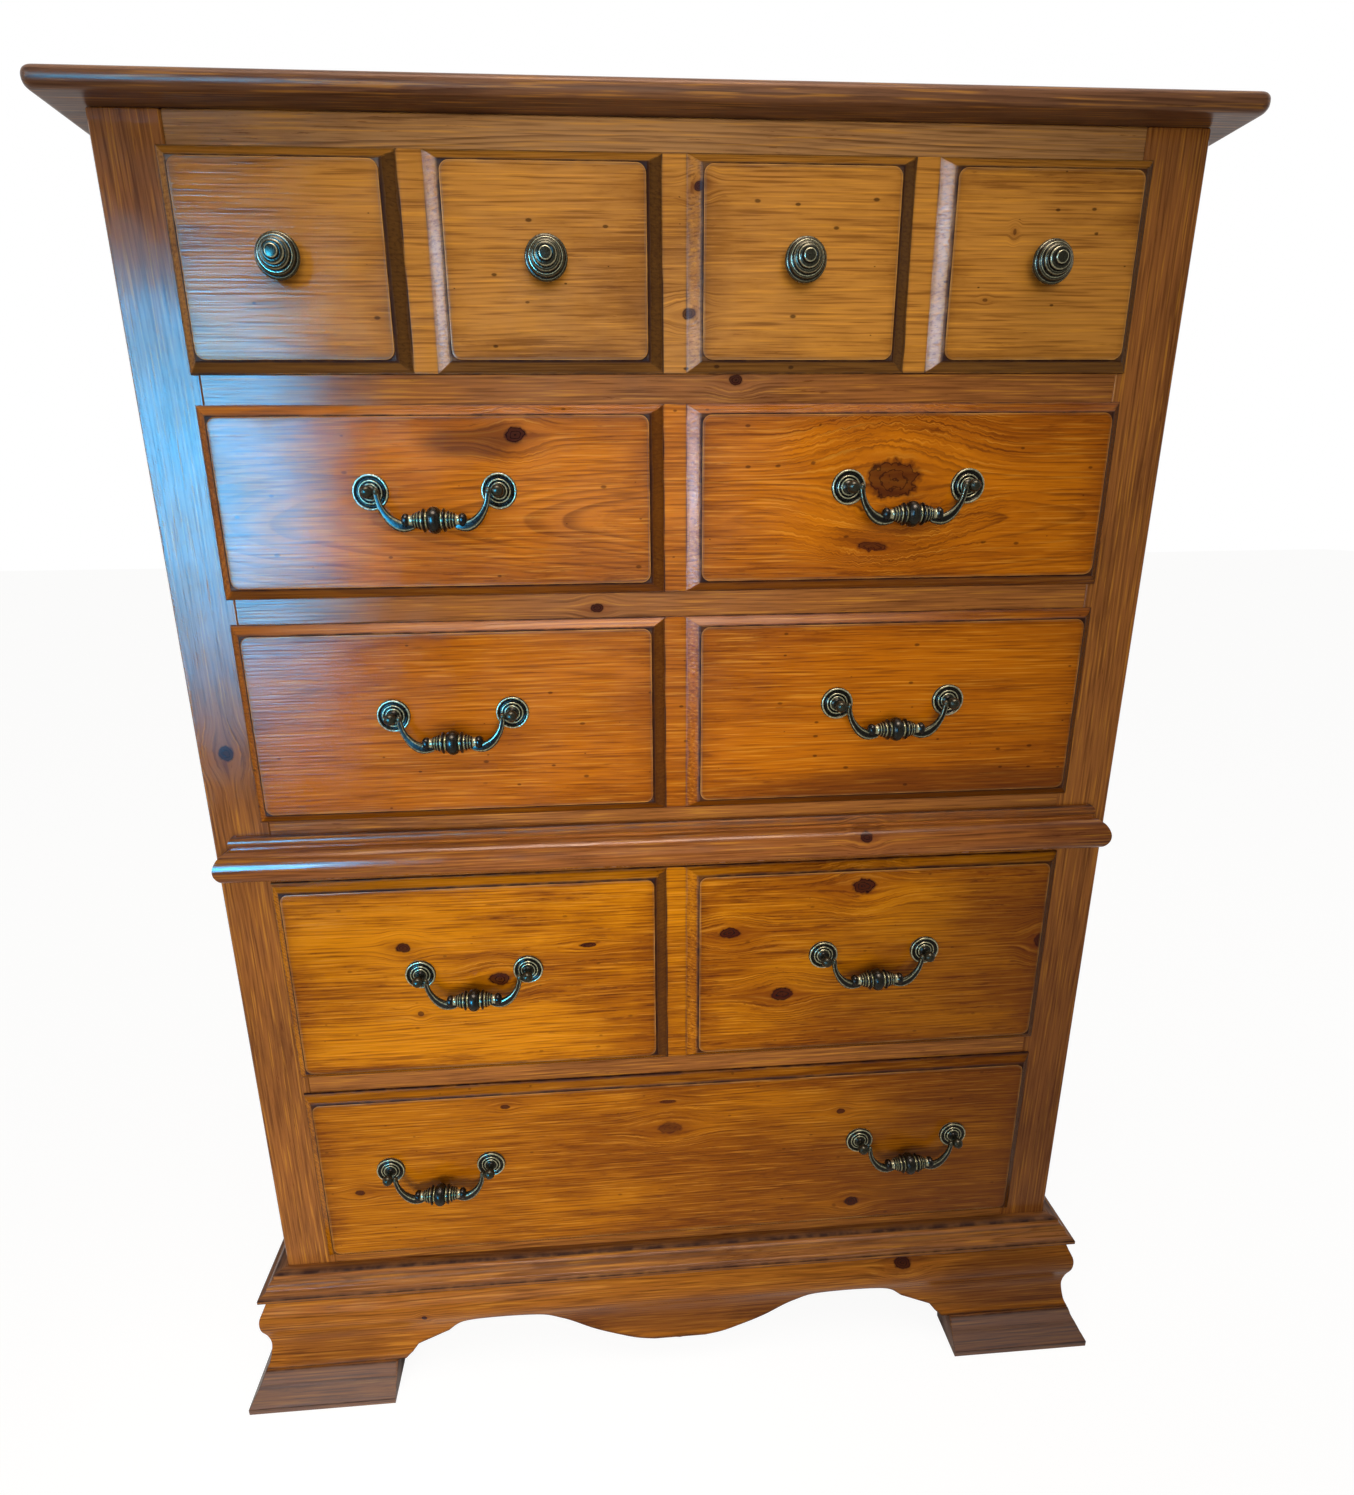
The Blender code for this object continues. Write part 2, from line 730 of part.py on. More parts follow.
def make_drawer_front(shop, row, bottom, top):
    half = opening_half_width()
    low_z, high_z = bottom - LIP_OVERLAP, top + LIP_OVERLAP
    name = f"drawer_{row}_front"
    lip_half = half + LIP_OVERLAP
    front = board(
        shop,
        name,
        (-lip_half, -LIP_STAND, low_z),
        (lip_half, -GAP, high_z),
        shop.panel,
        eased=0.0,
    )
    tongue_half = half - TONGUE_CLEARANCE
    tongue = cut_box(
        shop,
        name + "_tongue",
        (-tongue_half, -LIP_STAND / 2, bottom + TONGUE_CLEARANCE),
        (tongue_half, TONGUE_DEPTH, top - TONGUE_CLEARANCE),
    )
    boolean(front, tongue, "UNION")
    for number, (left, right, left_bevel, right_bevel) in enumerate(panel_spans(row), 1):
        mesh = raised_panel_mesh(
            f"{name}_panel_{number}",
            (left, low_z + BEVEL_LEDGE),
            (right, high_z - BEVEL_LEDGE),
            (left_bevel, right_bevel),
        )
        boolean(front, shop.add_cutter(f"{name}_panel_{number}", mesh), "UNION")
    return front


def box_front():
    return TONGUE_DEPTH + GAP


def box_rear():
    return back_face() - BOX_REAR_CLEARANCE


def make_drawer_box(shop, row, bottom, top):
    """Two sides and a back, grooved near the bottom for the panel."""
    half = opening_half_width() - BOX_SIDE_CLEARANCE
    front, rear = box_front(), box_rear()
    low, high = bottom + GAP, top - BOX_TOP_CLEARANCE
    name = f"drawer_{row}_box"
    box = board(shop, name, (-half, front, low), (half, rear, high), shop.drawer, eased=0.0)
    margin = BOX_BOARD_THICKNESS
    inner = half - BOX_BOARD_THICKNESS
    hollow = cut_box(
        shop,
        name + "_hollow",
        (-inner, front - margin, low - margin),
        (inner, rear - BOX_BOARD_THICKNESS, high + margin),
    )
    boolean(box, hollow, "DIFFERENCE")
    panel_low, panel_high = panel_corners(bottom)
    slack = Vector((GAP, GAP, GAP))
    groove_low = panel_low - slack
    groove_low.y = front - margin
    groove = cut_box(shop, name + "_groove", groove_low, panel_high + slack)
    boolean(box, groove, "DIFFERENCE")
    return box


def panel_corners(bottom):
    """Low and high corner of the drawer bottom, which stands in the grooves of the box."""
    half = opening_half_width() - BOX_SIDE_CLEARANCE - BOX_BOARD_THICKNESS + GROOVE_DEPTH
    rear = box_rear() - BOX_BOARD_THICKNESS + GROOVE_DEPTH
    low = Vector((-half, box_front(), bottom + PANEL_RAISE))
    high = Vector((half, rear, bottom + PANEL_RAISE + PANEL_THICKNESS))
    return low, high


def make_drawer_bottom(shop, row, bottom):
    low, high = panel_corners(bottom)
    return board(shop, f"drawer_{row}_bottom", low, high, shop.ply, eased=0.0)


def attach(child, parent):
    """Parents a piece without moving it."""
    child.parent = parent
    child.location = child.location - parent.location


# Knobs and pulls

def knob_mesh():
    """A knob of stacked rings that narrow to a button, on a waisted neck."""
    shares = (
        (0.000, 1.000),
        (0.275, 0.985),
        (0.375, 0.919),
        (0.500, 0.868),
        (0.525, 0.816),
        (0.675, 0.757),
        (0.700, 0.684),
        (0.850, 0.632),
        (0.875, 0.566),
        (1.000, 0.507),
        (0.988, 0.434),
        (0.438, 0.338),
        (0.388, 0.184),
        (0.575, 0.066),
        (0.575, 0.000),
        (0.000, 0.000),
    )
    profile = [(out * KNOB_RADIUS, up * KNOB_LENGTH) for out, up in shares]
    mesh = turned_mesh("knob", profile, KNOB_STEPS)
    smooth(mesh, 50)
    return mesh


def post_profile():
    """(radius, stand) from the tip of the head down to the rim of the rosette."""
    head = [(0.0, 0.51), (0.65, 0.39), (1.0, 0.08), (0.88, -0.27), (0.58, -0.49)]
    top = [(out * HEAD_RADIUS, PIVOT_STAND + up * HEAD_HEIGHT) for out, up in head]
    rings = [(0.46, 0.94), (0.57, 1.0), (0.70, 0.50), (0.87, 0.81), (1.0, 0.38), (1.0, 0.0), (0.0, 0.0)]
    rosette = [(out * ROSETTE_RADIUS, up * ROSETTE_RELIEF) for out, up in rings]
    return [*top, (STEM_RADIUS, 1.5 * ROSETTE_RELIEF), *rosette]


def post_mesh(shop):
    """A ringed rosette with the post in its middle, bored on the side that faces the bail."""
    mesh = turned_mesh("post", post_profile(), ROSETTE_STEPS)
    post = bpy.data.objects.new("post_blank", mesh)
    bpy.context.scene.collection.objects.link(post)
    bm = bmesh.new()
    radius = PIN_RADIUS + PIN_CLEARANCE
    bmesh.ops.create_cone(
        bm, cap_ends=True, segments=10, radius1=radius, radius2=radius, depth=2 * HEAD_RADIUS
    )
    bore_mesh = mesh_from("post_bore", bm)
    bore_mesh.transform(Matrix.Rotation(math.pi / 2, 4, "Y"))
    floor_of_bore = HEAD_RADIUS - PIN_DEPTH - GAP
    place = (floor_of_bore + HEAD_RADIUS, -PIVOT_STAND, 0.0)
    bore = shop.add_cutter("post_bore", bore_mesh, place)
    boolean(post, bore, "DIFFERENCE")
    bored = realised(post)
    smooth(bored, 50)
    return bored


def bail_stations():
    """(x, z, radius) of one half of a bail, from the middle of the grip to the end of its pin."""
    head_face = PULL_SPAN / 2 - HEAD_RADIUS
    shoulder = head_face - KNUCKLE_CLEARANCE
    knuckle = shoulder - PIN_RADIUS
    grip = [
        (0.0, BULB_RADIUS),
        (0.168, 0.855 * BULB_RADIUS),
        (0.264, 1.25 * ROD_RADIUS),
        (0.352, FLANGE_RADIUS),
        (0.408, 1.18 * ROD_RADIUS),
        (0.600, ROD_RADIUS),
        (0.760, NECK_RADIUS),
        (0.832, BEAD_RADIUS),
        (0.928, 0.92 * BEAD_RADIUS),
        (1.0, NECK_RADIUS),
    ]
    stations = [(along * GRIP_HALF_LENGTH, -GRIP_DROP, radius) for along, radius in grip]
    arm = [
        (0.345, 0.90, ROD_RADIUS),
        (0.700, 0.68, ROD_RADIUS),
        (0.890, 0.37, NECK_RADIUS),
        (1.0, 0.09, KNUCKLE_RADIUS),
    ]
    reach = knuckle - GRIP_HALF_LENGTH
    for along, up, radius in arm:
        stations.append((GRIP_HALF_LENGTH + along * reach, -up * GRIP_DROP, radius))
    pin_end = head_face + PIN_DEPTH
    return [*stations, (shoulder, 0.0, PIN_RADIUS), (pin_end, 0.0, PIN_RADIUS)]


def bail_curve():
    half = bail_stations()
    left = [(-x, z, radius) for x, z, radius in reversed(half)]
    stations = [*left, *half[1:]]
    curve = bpy.data.curves.new("bail", "CURVE")
    curve.dimensions = "3D"
    curve.bevel_depth = 0.001
    curve.bevel_resolution = BAIL_SEGMENTS
    curve.use_fill_caps = True
    spline = curve.splines.new("POLY")
    spline.points.add(len(stations) - 1)
    for point, (x, z, radius) in zip(spline.points, stations):
        point.co = (x, 0.0, z, 1.0)
        point.radius = radius / curve.bevel_depth
    return curve


def make_knobs(shop, mesh, bottom, top):
    knobs = []
    height = (bottom + top) / 2
    for number, x in enumerate(field_centres(1), 1):
        place = (x, -FIELD_STAND - GAP, height)
        knobs.append(shop.add(f"drawer_1_knob_{number}", mesh, shop.brass, place))
    return knobs


def make_pull(shop, name, centre, height, post, bail):
    """Two posts and the bail that swings between them."""
    face = -FIELD_STAND - GAP
    pieces = []
    for side, sign in (("left", -1), ("right", 1)):
        place = (centre + sign * PULL_SPAN / 2, face, height)
        piece = shop.add(f"{name}_post_{side}", post, shop.brass, place)
        piece.rotation_euler = (0.0, 0.0 if sign < 0 else math.pi, 0.0)
        pieces.append(piece)
    pieces.append(shop.add(f"{name}_bail", bail, shop.brass, (centre, face - PIVOT_STAND, height)))
    return pieces


def pull_place(row, bottom, top):
    """(distance from the middle, height) of the pivots of a drawer's pulls."""
    middle = (bottom + top) / 2
    if row == 5:
        end = opening_half_width() + LIP_OVERLAP
        return end - LOWEST_PULL_INSET, middle + LOWEST_PULL_RAISE
    return field_centres(row)[-1] + PULL_SHIFT_OUT, middle + PULL_RAISE


def make_drawers(shop):
    knob, post, bail = knob_mesh(), post_mesh(shop), bail_curve()
    for row, (bottom, top) in sorted(openings().items()):
        runner = bpy.data.objects.new(f"drawer_{row}_slide", None)
        runner.location = (0.0, 0.0, (bottom + top) / 2)
        shop.parts.objects.link(runner)
        pieces = [
            make_drawer_front(shop, row, bottom, top),
            make_drawer_box(shop, row, bottom, top),
            make_drawer_bottom(shop, row, bottom),
        ]
        if row == 1:
            pieces += make_knobs(shop, knob, bottom, top)
        else:
            centre, height = pull_place(row, bottom, top)
            for side, sign in (("left", -1), ("right", 1)):
                name = f"drawer_{row}_{side}"
                pieces += make_pull(shop, name, sign * centre, height, post, bail)
        for piece in pieces:
            attach(piece, runner)


def centre_on_origin(shop):
    """Hangs every piece from a root empty that brings the middle of the dresser to y = 0."""
    front, back = -FOOT_STAND, CASE_DEPTH + TOP_BACK_OVERHANG
    root = bpy.data.objects.new("dresser_root", None)
    root.location = (0.0, -(front + back) / 2, 0.0)
    for thing in [*shop.parts.objects, *shop.cutters.objects]:
        if thing.parent is None:
            thing.parent = root
    shop.parts.objects.link(root)


def main():
    clear_scene()
    shop = Workshop()
    make_top_board(shop)
    make_uprights(shop)
    make_back(shop)
    make_top_rail(shop)
    make_frames(shop)
    make_waist_moulding(shop)
    make_base_moulding(shop)
    make_front_bracket(shop)
    make_side_brackets(shop)
    make_drawers(shop)
    centre_on_origin(shop)
    bpy.context.view_layer.update()


main()
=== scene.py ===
"""Tall stained-pine dresser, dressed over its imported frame.

The sides, the stiles, the rails, the web frames and the drawers' boxes and bottoms are the frame's own
solids with a pine finish. The top board, the mouldings, the bracket base, the panelled drawer fronts and
the antique-brass knobs and pulls are finer surfaces that stand in the place of their solids.
"""

import logging
import math
from collections.abc import Sequence
from dataclasses import dataclass, field
from enum import Enum
from typing import NamedTuple

import bmesh
import bpy
import numpy as np
from mathutils import Matrix, Vector


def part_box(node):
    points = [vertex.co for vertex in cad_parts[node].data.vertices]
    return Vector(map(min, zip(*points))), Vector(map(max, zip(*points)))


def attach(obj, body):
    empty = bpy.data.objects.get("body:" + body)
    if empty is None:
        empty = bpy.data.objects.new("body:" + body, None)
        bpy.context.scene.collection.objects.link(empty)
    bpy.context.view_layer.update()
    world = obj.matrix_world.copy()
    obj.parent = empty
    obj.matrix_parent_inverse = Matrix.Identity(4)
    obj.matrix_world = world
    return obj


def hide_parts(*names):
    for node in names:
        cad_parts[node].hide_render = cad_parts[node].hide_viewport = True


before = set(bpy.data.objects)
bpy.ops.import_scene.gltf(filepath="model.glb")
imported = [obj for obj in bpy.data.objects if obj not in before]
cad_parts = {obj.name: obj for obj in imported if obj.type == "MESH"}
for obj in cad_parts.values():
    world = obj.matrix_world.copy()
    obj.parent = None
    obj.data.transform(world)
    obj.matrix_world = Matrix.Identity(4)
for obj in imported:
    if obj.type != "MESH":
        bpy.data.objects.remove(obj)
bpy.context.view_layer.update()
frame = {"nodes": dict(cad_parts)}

log = logging.getLogger("tall_dresser")

Material = bpy.types.Material
Socket = bpy.types.NodeSocket
Feed = Socket | float | tuple
Paint = tuple[int, int, int]
Point = tuple[float, float, float]
Pairs = tuple[tuple[float, float], ...]

# Metres: a millimetre, how far a planted piece stays off what it sits on, how near two points are the
# same one, how short an edge is dropped, how low an edge is on the floor, and next to nothing
MM = 0.001
GAP = 0.0003
SAME_POINT = 2e-6
NO_LENGTH = 1e-7
ON_FLOOR = 1e-6
TINY = 1e-9
# The front and half the width of the case, and where a moulding turns its corner
CASE_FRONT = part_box("stile_left")[0].y
CASE_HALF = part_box("stile_right")[1].x
MITRE_SUM = CASE_HALF + CASE_FRONT


class Slot(Enum):
    """Names of material slots."""

    CASE = "stained_pine"
    PANEL = "panel_pine"
    DARK = "dark_pine"
    BOX = "drawer_wood"
    PLY = "plywood"
    BRASS = "antique_brass"


class Side(Enum):
    """The two sides of a pull, and of the pulls of a drawer."""

    LEFT = "left"
    RIGHT = "right"


class Grain(Enum):
    """Which way the fibres of a board run."""

    ACROSS = "x"
    BACK = "y"
    UP = "z"
    MITRED = "round the corners"


# Shells of points and faces


@dataclass
class Shell:
    """One closed surface: its points, its faces, and a value per point for each mark."""

    points: np.ndarray
    faces: list[list[int]]
    marks: dict[str, np.ndarray] = field(default_factory=dict)

    def moved(self, offset: Sequence[float]) -> "Shell":
        """The same shell carried by an offset."""
        return Shell(self.points + np.asarray(offset), self.faces, self.marks)

    def mirrored(self) -> "Shell":
        """The same shell reflected in the plane x = 0."""
        flipped = [face[::-1] for face in self.faces]
        return Shell(self.points * np.array([-1.0, 1.0, 1.0]), flipped, self.marks)


def woven(
    grid: np.ndarray,
    marks: dict[str, np.ndarray] | None = None,
    around: bool = False,
    caps: bool = False,
    lid: bool = False,
) -> Shell:
    """Faces between neighbouring rows and columns of a grid of points.

    Args:
        grid: points as (rows, columns, 3).
        marks: a value per point for each mark, as (rows, columns).
        around: whether the last column joins the first.
        caps: whether the first and the last row are filled.
        lid: whether only the last row is filled.

    Returns:
        The surface as a shell.
    """
    rows, columns = grid.shape[:2]
    index = np.arange(rows * columns).reshape(rows, columns)
    ahead = np.roll(index, -1, axis=1)
    span = columns if around else columns - 1
    quads = np.stack(
        [index[:-1, :span], ahead[:-1, :span], ahead[1:, :span], index[1:, :span]], axis=-1
    )
    faces = quads.reshape(-1, 4).tolist()
    if caps:
        faces.append(index[0, ::-1].tolist())
    if caps or lid:
        faces.append(index[-1].tolist())
    flat = {
        name: np.broadcast_to(value, (rows, columns)).ravel() for name, value in (marks or {}).items()
    }
    return Shell(grid.reshape(-1, 3), faces, flat)


def joined(shells: Sequence[Shell]) -> Shell:
    """All shells as one, with a mark of zero where a shell doesn't carry it.

    Args:
        shells: the shells to put together.

    Returns:
        One shell with all their points and faces.
    """
    names = sorted({name for shell in shells for name in shell.marks})
    faces, start = [], 0
    for shell in shells:
        faces += [[start + corner for corner in face] for face in shell.faces]
        start += len(shell.points)
    marks = {
        name: np.concatenate([shell.marks.get(name, np.zeros(len(shell.points))) for shell in shells])
        for name in names
    }
    return Shell(np.concatenate([shell.points for shell in shells]), faces, marks)


def placed(
    name: str,
    shell: Shell,
    material: Material,
    body: str,
    stands_for: str,
    crease: float = 38.0,
) -> bpy.types.Object:
    """Makes the shell an object that rides on a body in the place of a solid of the frame.

    Args:
        name: the piece's name.
        shell: its surface.
        material: its finish.
        body: the body that carries it.
        stands_for: the solid that it replaces.
        crease: edges sharper than this angle, in degrees, stay crisp.

    Returns:
        The finished object.
    """
    mesh = bpy.data.meshes.new(name)
    mesh.from_pydata(shell.points.tolist(), [], shell.faces)
    for mark, values in shell.marks.items():
        layer = mesh.attributes.new(mark, "FLOAT", "POINT")
        layer.data.foreach_set("value", np.ascontiguousarray(values, dtype=np.float32))
    bm = bmesh.new()
    bm.from_mesh(mesh)
    bmesh.ops.remove_doubles(bm, verts=bm.verts, dist=SAME_POINT)
    bmesh.ops.dissolve_degenerate(bm, edges=bm.edges, dist=NO_LENGTH)
    bmesh.ops.recalc_face_normals(bm, faces=bm.faces)
    bm.to_mesh(mesh)
    bm.free()
    mesh.shade_smooth()
    mesh.set_sharp_from_angle(angle=math.radians(crease))
    mesh.materials.append(material)
    piece = bpy.data.objects.new(name, mesh)
    bpy.context.scene.collection.objects.link(piece)
    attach(piece, body)
    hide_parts(stands_for)
    log.info("%s on %s: %d faces", name, body, len(mesh.polygons))
    return piece


def dress(node: str, material: Material) -> None:
    """Gives a solid of the frame its finish.

    Args:
        node: the solid's name.
        material: its finish.
    """
    mesh = frame["nodes"][node].data
    mesh.materials.clear()
    mesh.materials.append(material)
    log.info("%s keeps its solid", node)


# Curves as arrays


def flowing(points: Sequence[Sequence[float]], per_span: int, crisp: Sequence[int] = ()) -> np.ndarray:
    """A smooth line through points, broken at the crisp ones.

    Each span is the cubic whose slope at a point is half the step between its two neighbours, and at a
    crisp point or an end the slope is the step of the span itself.

    Args:
        points: the points to pass through.
        per_span: how many steps each span is cut into.
        crisp: indexes of the points where the line may turn a corner.

    Returns:
        The points of the line.
    """
    knots = np.asarray(points, dtype=float)
    step = np.diff(knots, axis=0)
    leaving = np.empty_like(step)
    arriving = np.empty_like(step)
    leaving[0], arriving[-1] = step[0], step[-1]
    inner = (step[:-1] + step[1:]) / 2
    leaving[1:], arriving[:-1] = inner, inner
    for corner in crisp:
        leaving[corner] = step[corner]
        arriving[corner - 1] = step[corner - 1]
    t = (np.arange(per_span) / per_span)[None, :, None]
    start, end = knots[:-1, None], knots[1:, None]
    spans = (
        (2 * t**3 - 3 * t**2 + 1) * start
        + (t**3 - 2 * t**2 + t) * leaving[:, None]
        + (3 * t**2 - 2 * t**3) * end
        + (t**3 - t**2) * arriving[:, None]
    )
    return np.concatenate([spans.reshape(-1, knots.shape[1]), knots[-1:]])


def around_axis(steps: int) -> np.ndarray:
    """The angles of a full turn as one row, without the last, which is the first again."""
    return np.linspace(0.0, 2 * np.pi, steps, endpoint=False)[None, :]


def turned(profile: np.ndarray, steps: int, marks: dict[str, np.ndarray]) -> Shell:
    """A profile of (radius, stand) turned round an axis that runs towards the viewer.

    The point at angle a is (radius cos a, -stand, radius sin a).

    Args:
        profile: points as (n, 2) from one end of the axis to the other.
        steps: how many columns the turn has.
        marks: a value per profile point for each mark.

    Returns:
        The turned surface.
    """
    angle = around_axis(steps)
    radius, stand = profile[:, :1], profile[:, 1:]
    grid = np.stack(
        [radius * np.cos(angle), -stand * np.ones_like(angle), radius * np.sin(angle)], axis=-1
    )
    return woven(grid, {name: value[:, None] for name, value in marks.items()}, around=True)


def turned_across(profile: np.ndarray, steps: int, marks: dict, drop: float = 0.0) -> Shell:
    """A profile of (place, radius) turned round an axis that runs across, from left to right.

    The point at angle a is (place, radius cos a, radius sin a - drop).

    Args:
        profile: points as (n, 2) from one end of the axis to the other.
        steps: how many columns the turn has.
        marks: a value for each mark, one for all points or one per point as (n, 1).
        drop: how far below the origin the axis runs.

    Returns:
        The turned surface.
    """
    angle = around_axis(steps)
    place, radius = profile[:, :1], profile[:, 1:]
    grid = np.stack(
        [place * np.ones_like(angle), radius * np.cos(angle), radius * np.sin(angle) - drop], axis=-1
    )
    return woven(grid, marks, around=True)


def hollows(profile: np.ndarray, reach: float) -> np.ndarray:
    """How deep each point of a profile sits below the line between its neighbours at a distance.

    That is the way from the point to the middle of the line, taken square to the line.

    Args:
        profile: points as (n, 2), with the solid on the right of the line.
        reach: the distance to the neighbours, along the line.

    Returns:
        A value per point, above 0 in a groove and below 0 on a ridge, in shares of the reach.
    """
    run = np.concatenate([[0.0], np.cumsum(np.linalg.norm(np.diff(profile, axis=0), axis=1))])

    def at(distance: np.ndarray) -> np.ndarray:
        """The point of the profile at each distance along it."""
        return np.stack([np.interp(distance, run, profile[:, k]) for k in (0, 1)], axis=-1)

    before, after = at(run - reach), at(run + reach)
    chord = after - before
    bow = (before + after) / 2 - profile
    length = np.linalg.norm(chord, axis=1) + TINY
    return (bow[:, 1] * chord[:, 0] - bow[:, 0] * chord[:, 1]) / length / reach


def groove_glaze_and_shade(profile: np.ndarray, reach: float = 0.0016, gain: float = 3.0) -> np.ndarray:
    """How much dark glaze and painted shade each point of a profile has, 0 to 1, by the depth of its
    groove.
    """
    return np.clip(hollows(profile, reach) * gain, 0.0, 1.0)


def brass_marks(
    grooves: np.ndarray, hollow_gain: float, ridge_gain: float, spared: float = 0.0
) -> dict[str, np.ndarray]:
    """The marks of a casting, from 0 to 1: its hollows keep the patina and its ridges are rubbed.

    Args:
        grooves: the depth of each point, below 0 on a ridge.
        hollow_gain: what the depth is multiplied by.
        ridge_gain: what the height is multiplied by.
        spared: how much of that height stays unrubbed.

    Returns:
        The two marks.
    """
    return {
        "hollow": np.clip(grooves * hollow_gain, 0, 1),
        "ridge": np.clip(-grooves * ridge_gain - spared, 0, 1),
    }


def seat(node: str) -> Point:
    """The middle of the rear face of a solid's box, where its fitting is screwed on."""
    low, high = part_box(node)
    return (low.x + high.x) / 2, high.y, (low.z + high.z) / 2


def upright(loop: np.ndarray, stand: float) -> np.ndarray:
    """A loop of (x, z) stood up at a distance in front of the case."""
    return np.column_stack([loop[:, 0], np.full(len(loop), CASE_FRONT - stand), loop[:, 1]])


def side_shares(steps: int) -> np.ndarray:
    """Where the points of a straight side are: even steps, and one more point close to each end."""
    return np.concatenate([[0.0, 0.008], np.arange(1, steps) / steps, [0.992, 1.0]])


def rounded_loop(
    low: Sequence[float], high: Sequence[float], radius: float, corner_steps: int, side_steps: int
) -> np.ndarray:
    """A rectangle with round corners, anticlockwise from its lower left corner.

    Each corner is a quarter circle, and each side runs straight between two of them.

    Args:
        low: the lower left corner.
        high: the upper right corner.
        radius: the corners' radius.
        corner_steps: steps in each quarter circle.
        side_steps: steps along each side.

    Returns:
        Points as (n, 2), with the same count for any radius.
    """
    near, far = np.asarray(low) + radius, np.asarray(high) - radius
    centres = np.array([near, (far[0], near[1]), far, (near[0], far[1])])
    parts = []
    sweep = np.linspace(0.0, np.pi / 2, corner_steps + 1)
    shares = side_shares(side_steps)[1:-1, None]
    for number in range(4):
        angle = sweep + np.pi + number * np.pi / 2
        arc = centres[number] + radius * np.stack([np.cos(angle), np.sin(angle)], axis=-1)
        following = np.array([math.cos(angle[-1]), math.sin(angle[-1])])
        end = centres[(number + 1) % 4] + radius * following
        parts += [arc, arc[-1] + shares * (end - arc[-1])]
    return np.concatenate(parts)


# Finishes


def tint(red: int, green: int, blue: int) -> tuple[float, float, float, float]:
    """A colour as its light values, from the way it is written for a screen.

    A channel's share s of 255 gives s / 12.92 where it is very dark, or else the power 2.4 of
    (s + 0.055) / 1.055.

    Args:
        red: 0 to 255.
        green: 0 to 255.
        blue: 0 to 255.

    Returns:
        Linear red, green, blue and a full alpha.
    """
    shares = [channel / 255 for channel in (red, green, blue)]
    light = [s / 12.92 if s <= 0.04045 else ((s + 0.055) / 1.055) ** 2.4 for s in shares]
    return (*light, 1.0)


class Nodes:
    """A node tree in the making: short calls that add nodes and give back their outputs."""

    def __init__(self, tree: bpy.types.NodeTree) -> None:
        """Takes the tree to add to."""
        self.tree = tree

    def node(self, kind: str, inputs: dict | None = None, **settings: object) -> bpy.types.Node:
        """Adds a node.

        Args:
            kind: the node's type without its ShaderNode prefix.
            inputs: a number, colour or output for each input, by name or place.
            settings: the node's own settings.

        Returns:
            The node.
        """
        made = self.tree.nodes.new("ShaderNode" + kind)
        for setting, value in settings.items():
            setattr(made, setting, value)
        for key, value in (inputs or {}).items():
            self.feed(made.inputs[key], value)
        return made

    def feed(self, socket: Socket, value: Feed) -> None:
        """Links an output to a socket, or sets the socket to a value.

        Args:
            socket: the input to feed.
            value: an output, a number or a colour.
        """
        if isinstance(value, Socket):
            self.tree.links.new(value, socket)
        else:
            socket.default_value = value

    def sums(self, operation: str, *values: Feed) -> Socket:
        """One arithmetic step on numbers."""
        return self.node("Math", dict(enumerate(values)), operation=operation).outputs[0]

    def vectors(self, operation: str, *values: Feed) -> Socket:
        """One arithmetic step on vectors, or the length of one."""
        made = self.node("VectorMath", dict(enumerate(values)), operation=operation)
        return made.outputs["Value" if operation == "LENGTH" else "Vector"]

    def parts(self, vector: Socket) -> dict[str, Socket]:
        """The X, Y and Z of a vector."""
        return {out.name: out for out in self.node("SeparateXYZ", {0: vector}).outputs}

    def mark(self, name: str) -> Socket:
        """The value of a mark on the surface."""
        return self.node("Attribute", attribute_name=name, attribute_type="GEOMETRY").outputs["Fac"]

    def noise(self, vector: Socket, scale: float, detail: float = 2.0, rough: float = 0.5) -> Socket:
        """Cloudy noise between 0 and 1, mostly near one half."""
        inputs = {"Vector": vector, "Scale": scale, "Detail": detail, "Roughness": rough}
        return self.node("TexNoise", inputs).outputs["Fac"]

    def ramp(
        self, value: Socket, low: float, high: float, start: float = 0.0, end: float = 1.0
    ) -> Socket:
        """A smooth step from start to end as the value goes from low to high."""
        inputs = {"Value": value, "From Min": low, "From Max": high, "To Min": start, "To Max": end}
        return self.node("MapRange", inputs, interpolation_type="SMOOTHSTEP").outputs["Result"]

    def mix(self, share: Socket, first: Feed, second: Feed) -> Socket:
        """Two colours mixed.

        Args:
            share: how much of the second there is.
            first: a colour.
            second: another colour.

        Returns:
            The mixed colour.
        """
        made = self.node("Mix", data_type="RGBA")
        for place, value in (("Factor", share), (6, first), (7, second)):
            self.feed(made.inputs[place], value)
        return made.outputs[2]

    def over(self, colour: Feed, share: Socket, paint: Paint) -> Socket:
        """A colour with a share of it painted over."""
        return self.mix(share, colour, tint(*paint))


class Recipe(Nodes):
    """A material in the making."""

    def __init__(self, name: str) -> None:
        """Starts a material with one shader.

        Args:
            name: the material's name.
        """
        self.material = bpy.data.materials.new(name)
        self.material.use_nodes = True
        super().__init__(self.material.node_tree)
        self.shader = self.tree.nodes["Principled BSDF"]

    def shade(self, **inputs: Feed) -> None:
        """Feeds the shader's inputs, named with underscores for spaces."""
        for name, value in inputs.items():
            self.feed(self.shader.inputs[name.replace("_", " ")], value)


@dataclass(frozen=True)
class Knot:
    """A knot in a board: where it is along and across the grain, and how wide and tall it is."""

    along: float
    across: float
    width: float = 0.0085
    tall: float = 0.0060
    dark: float = 0.9


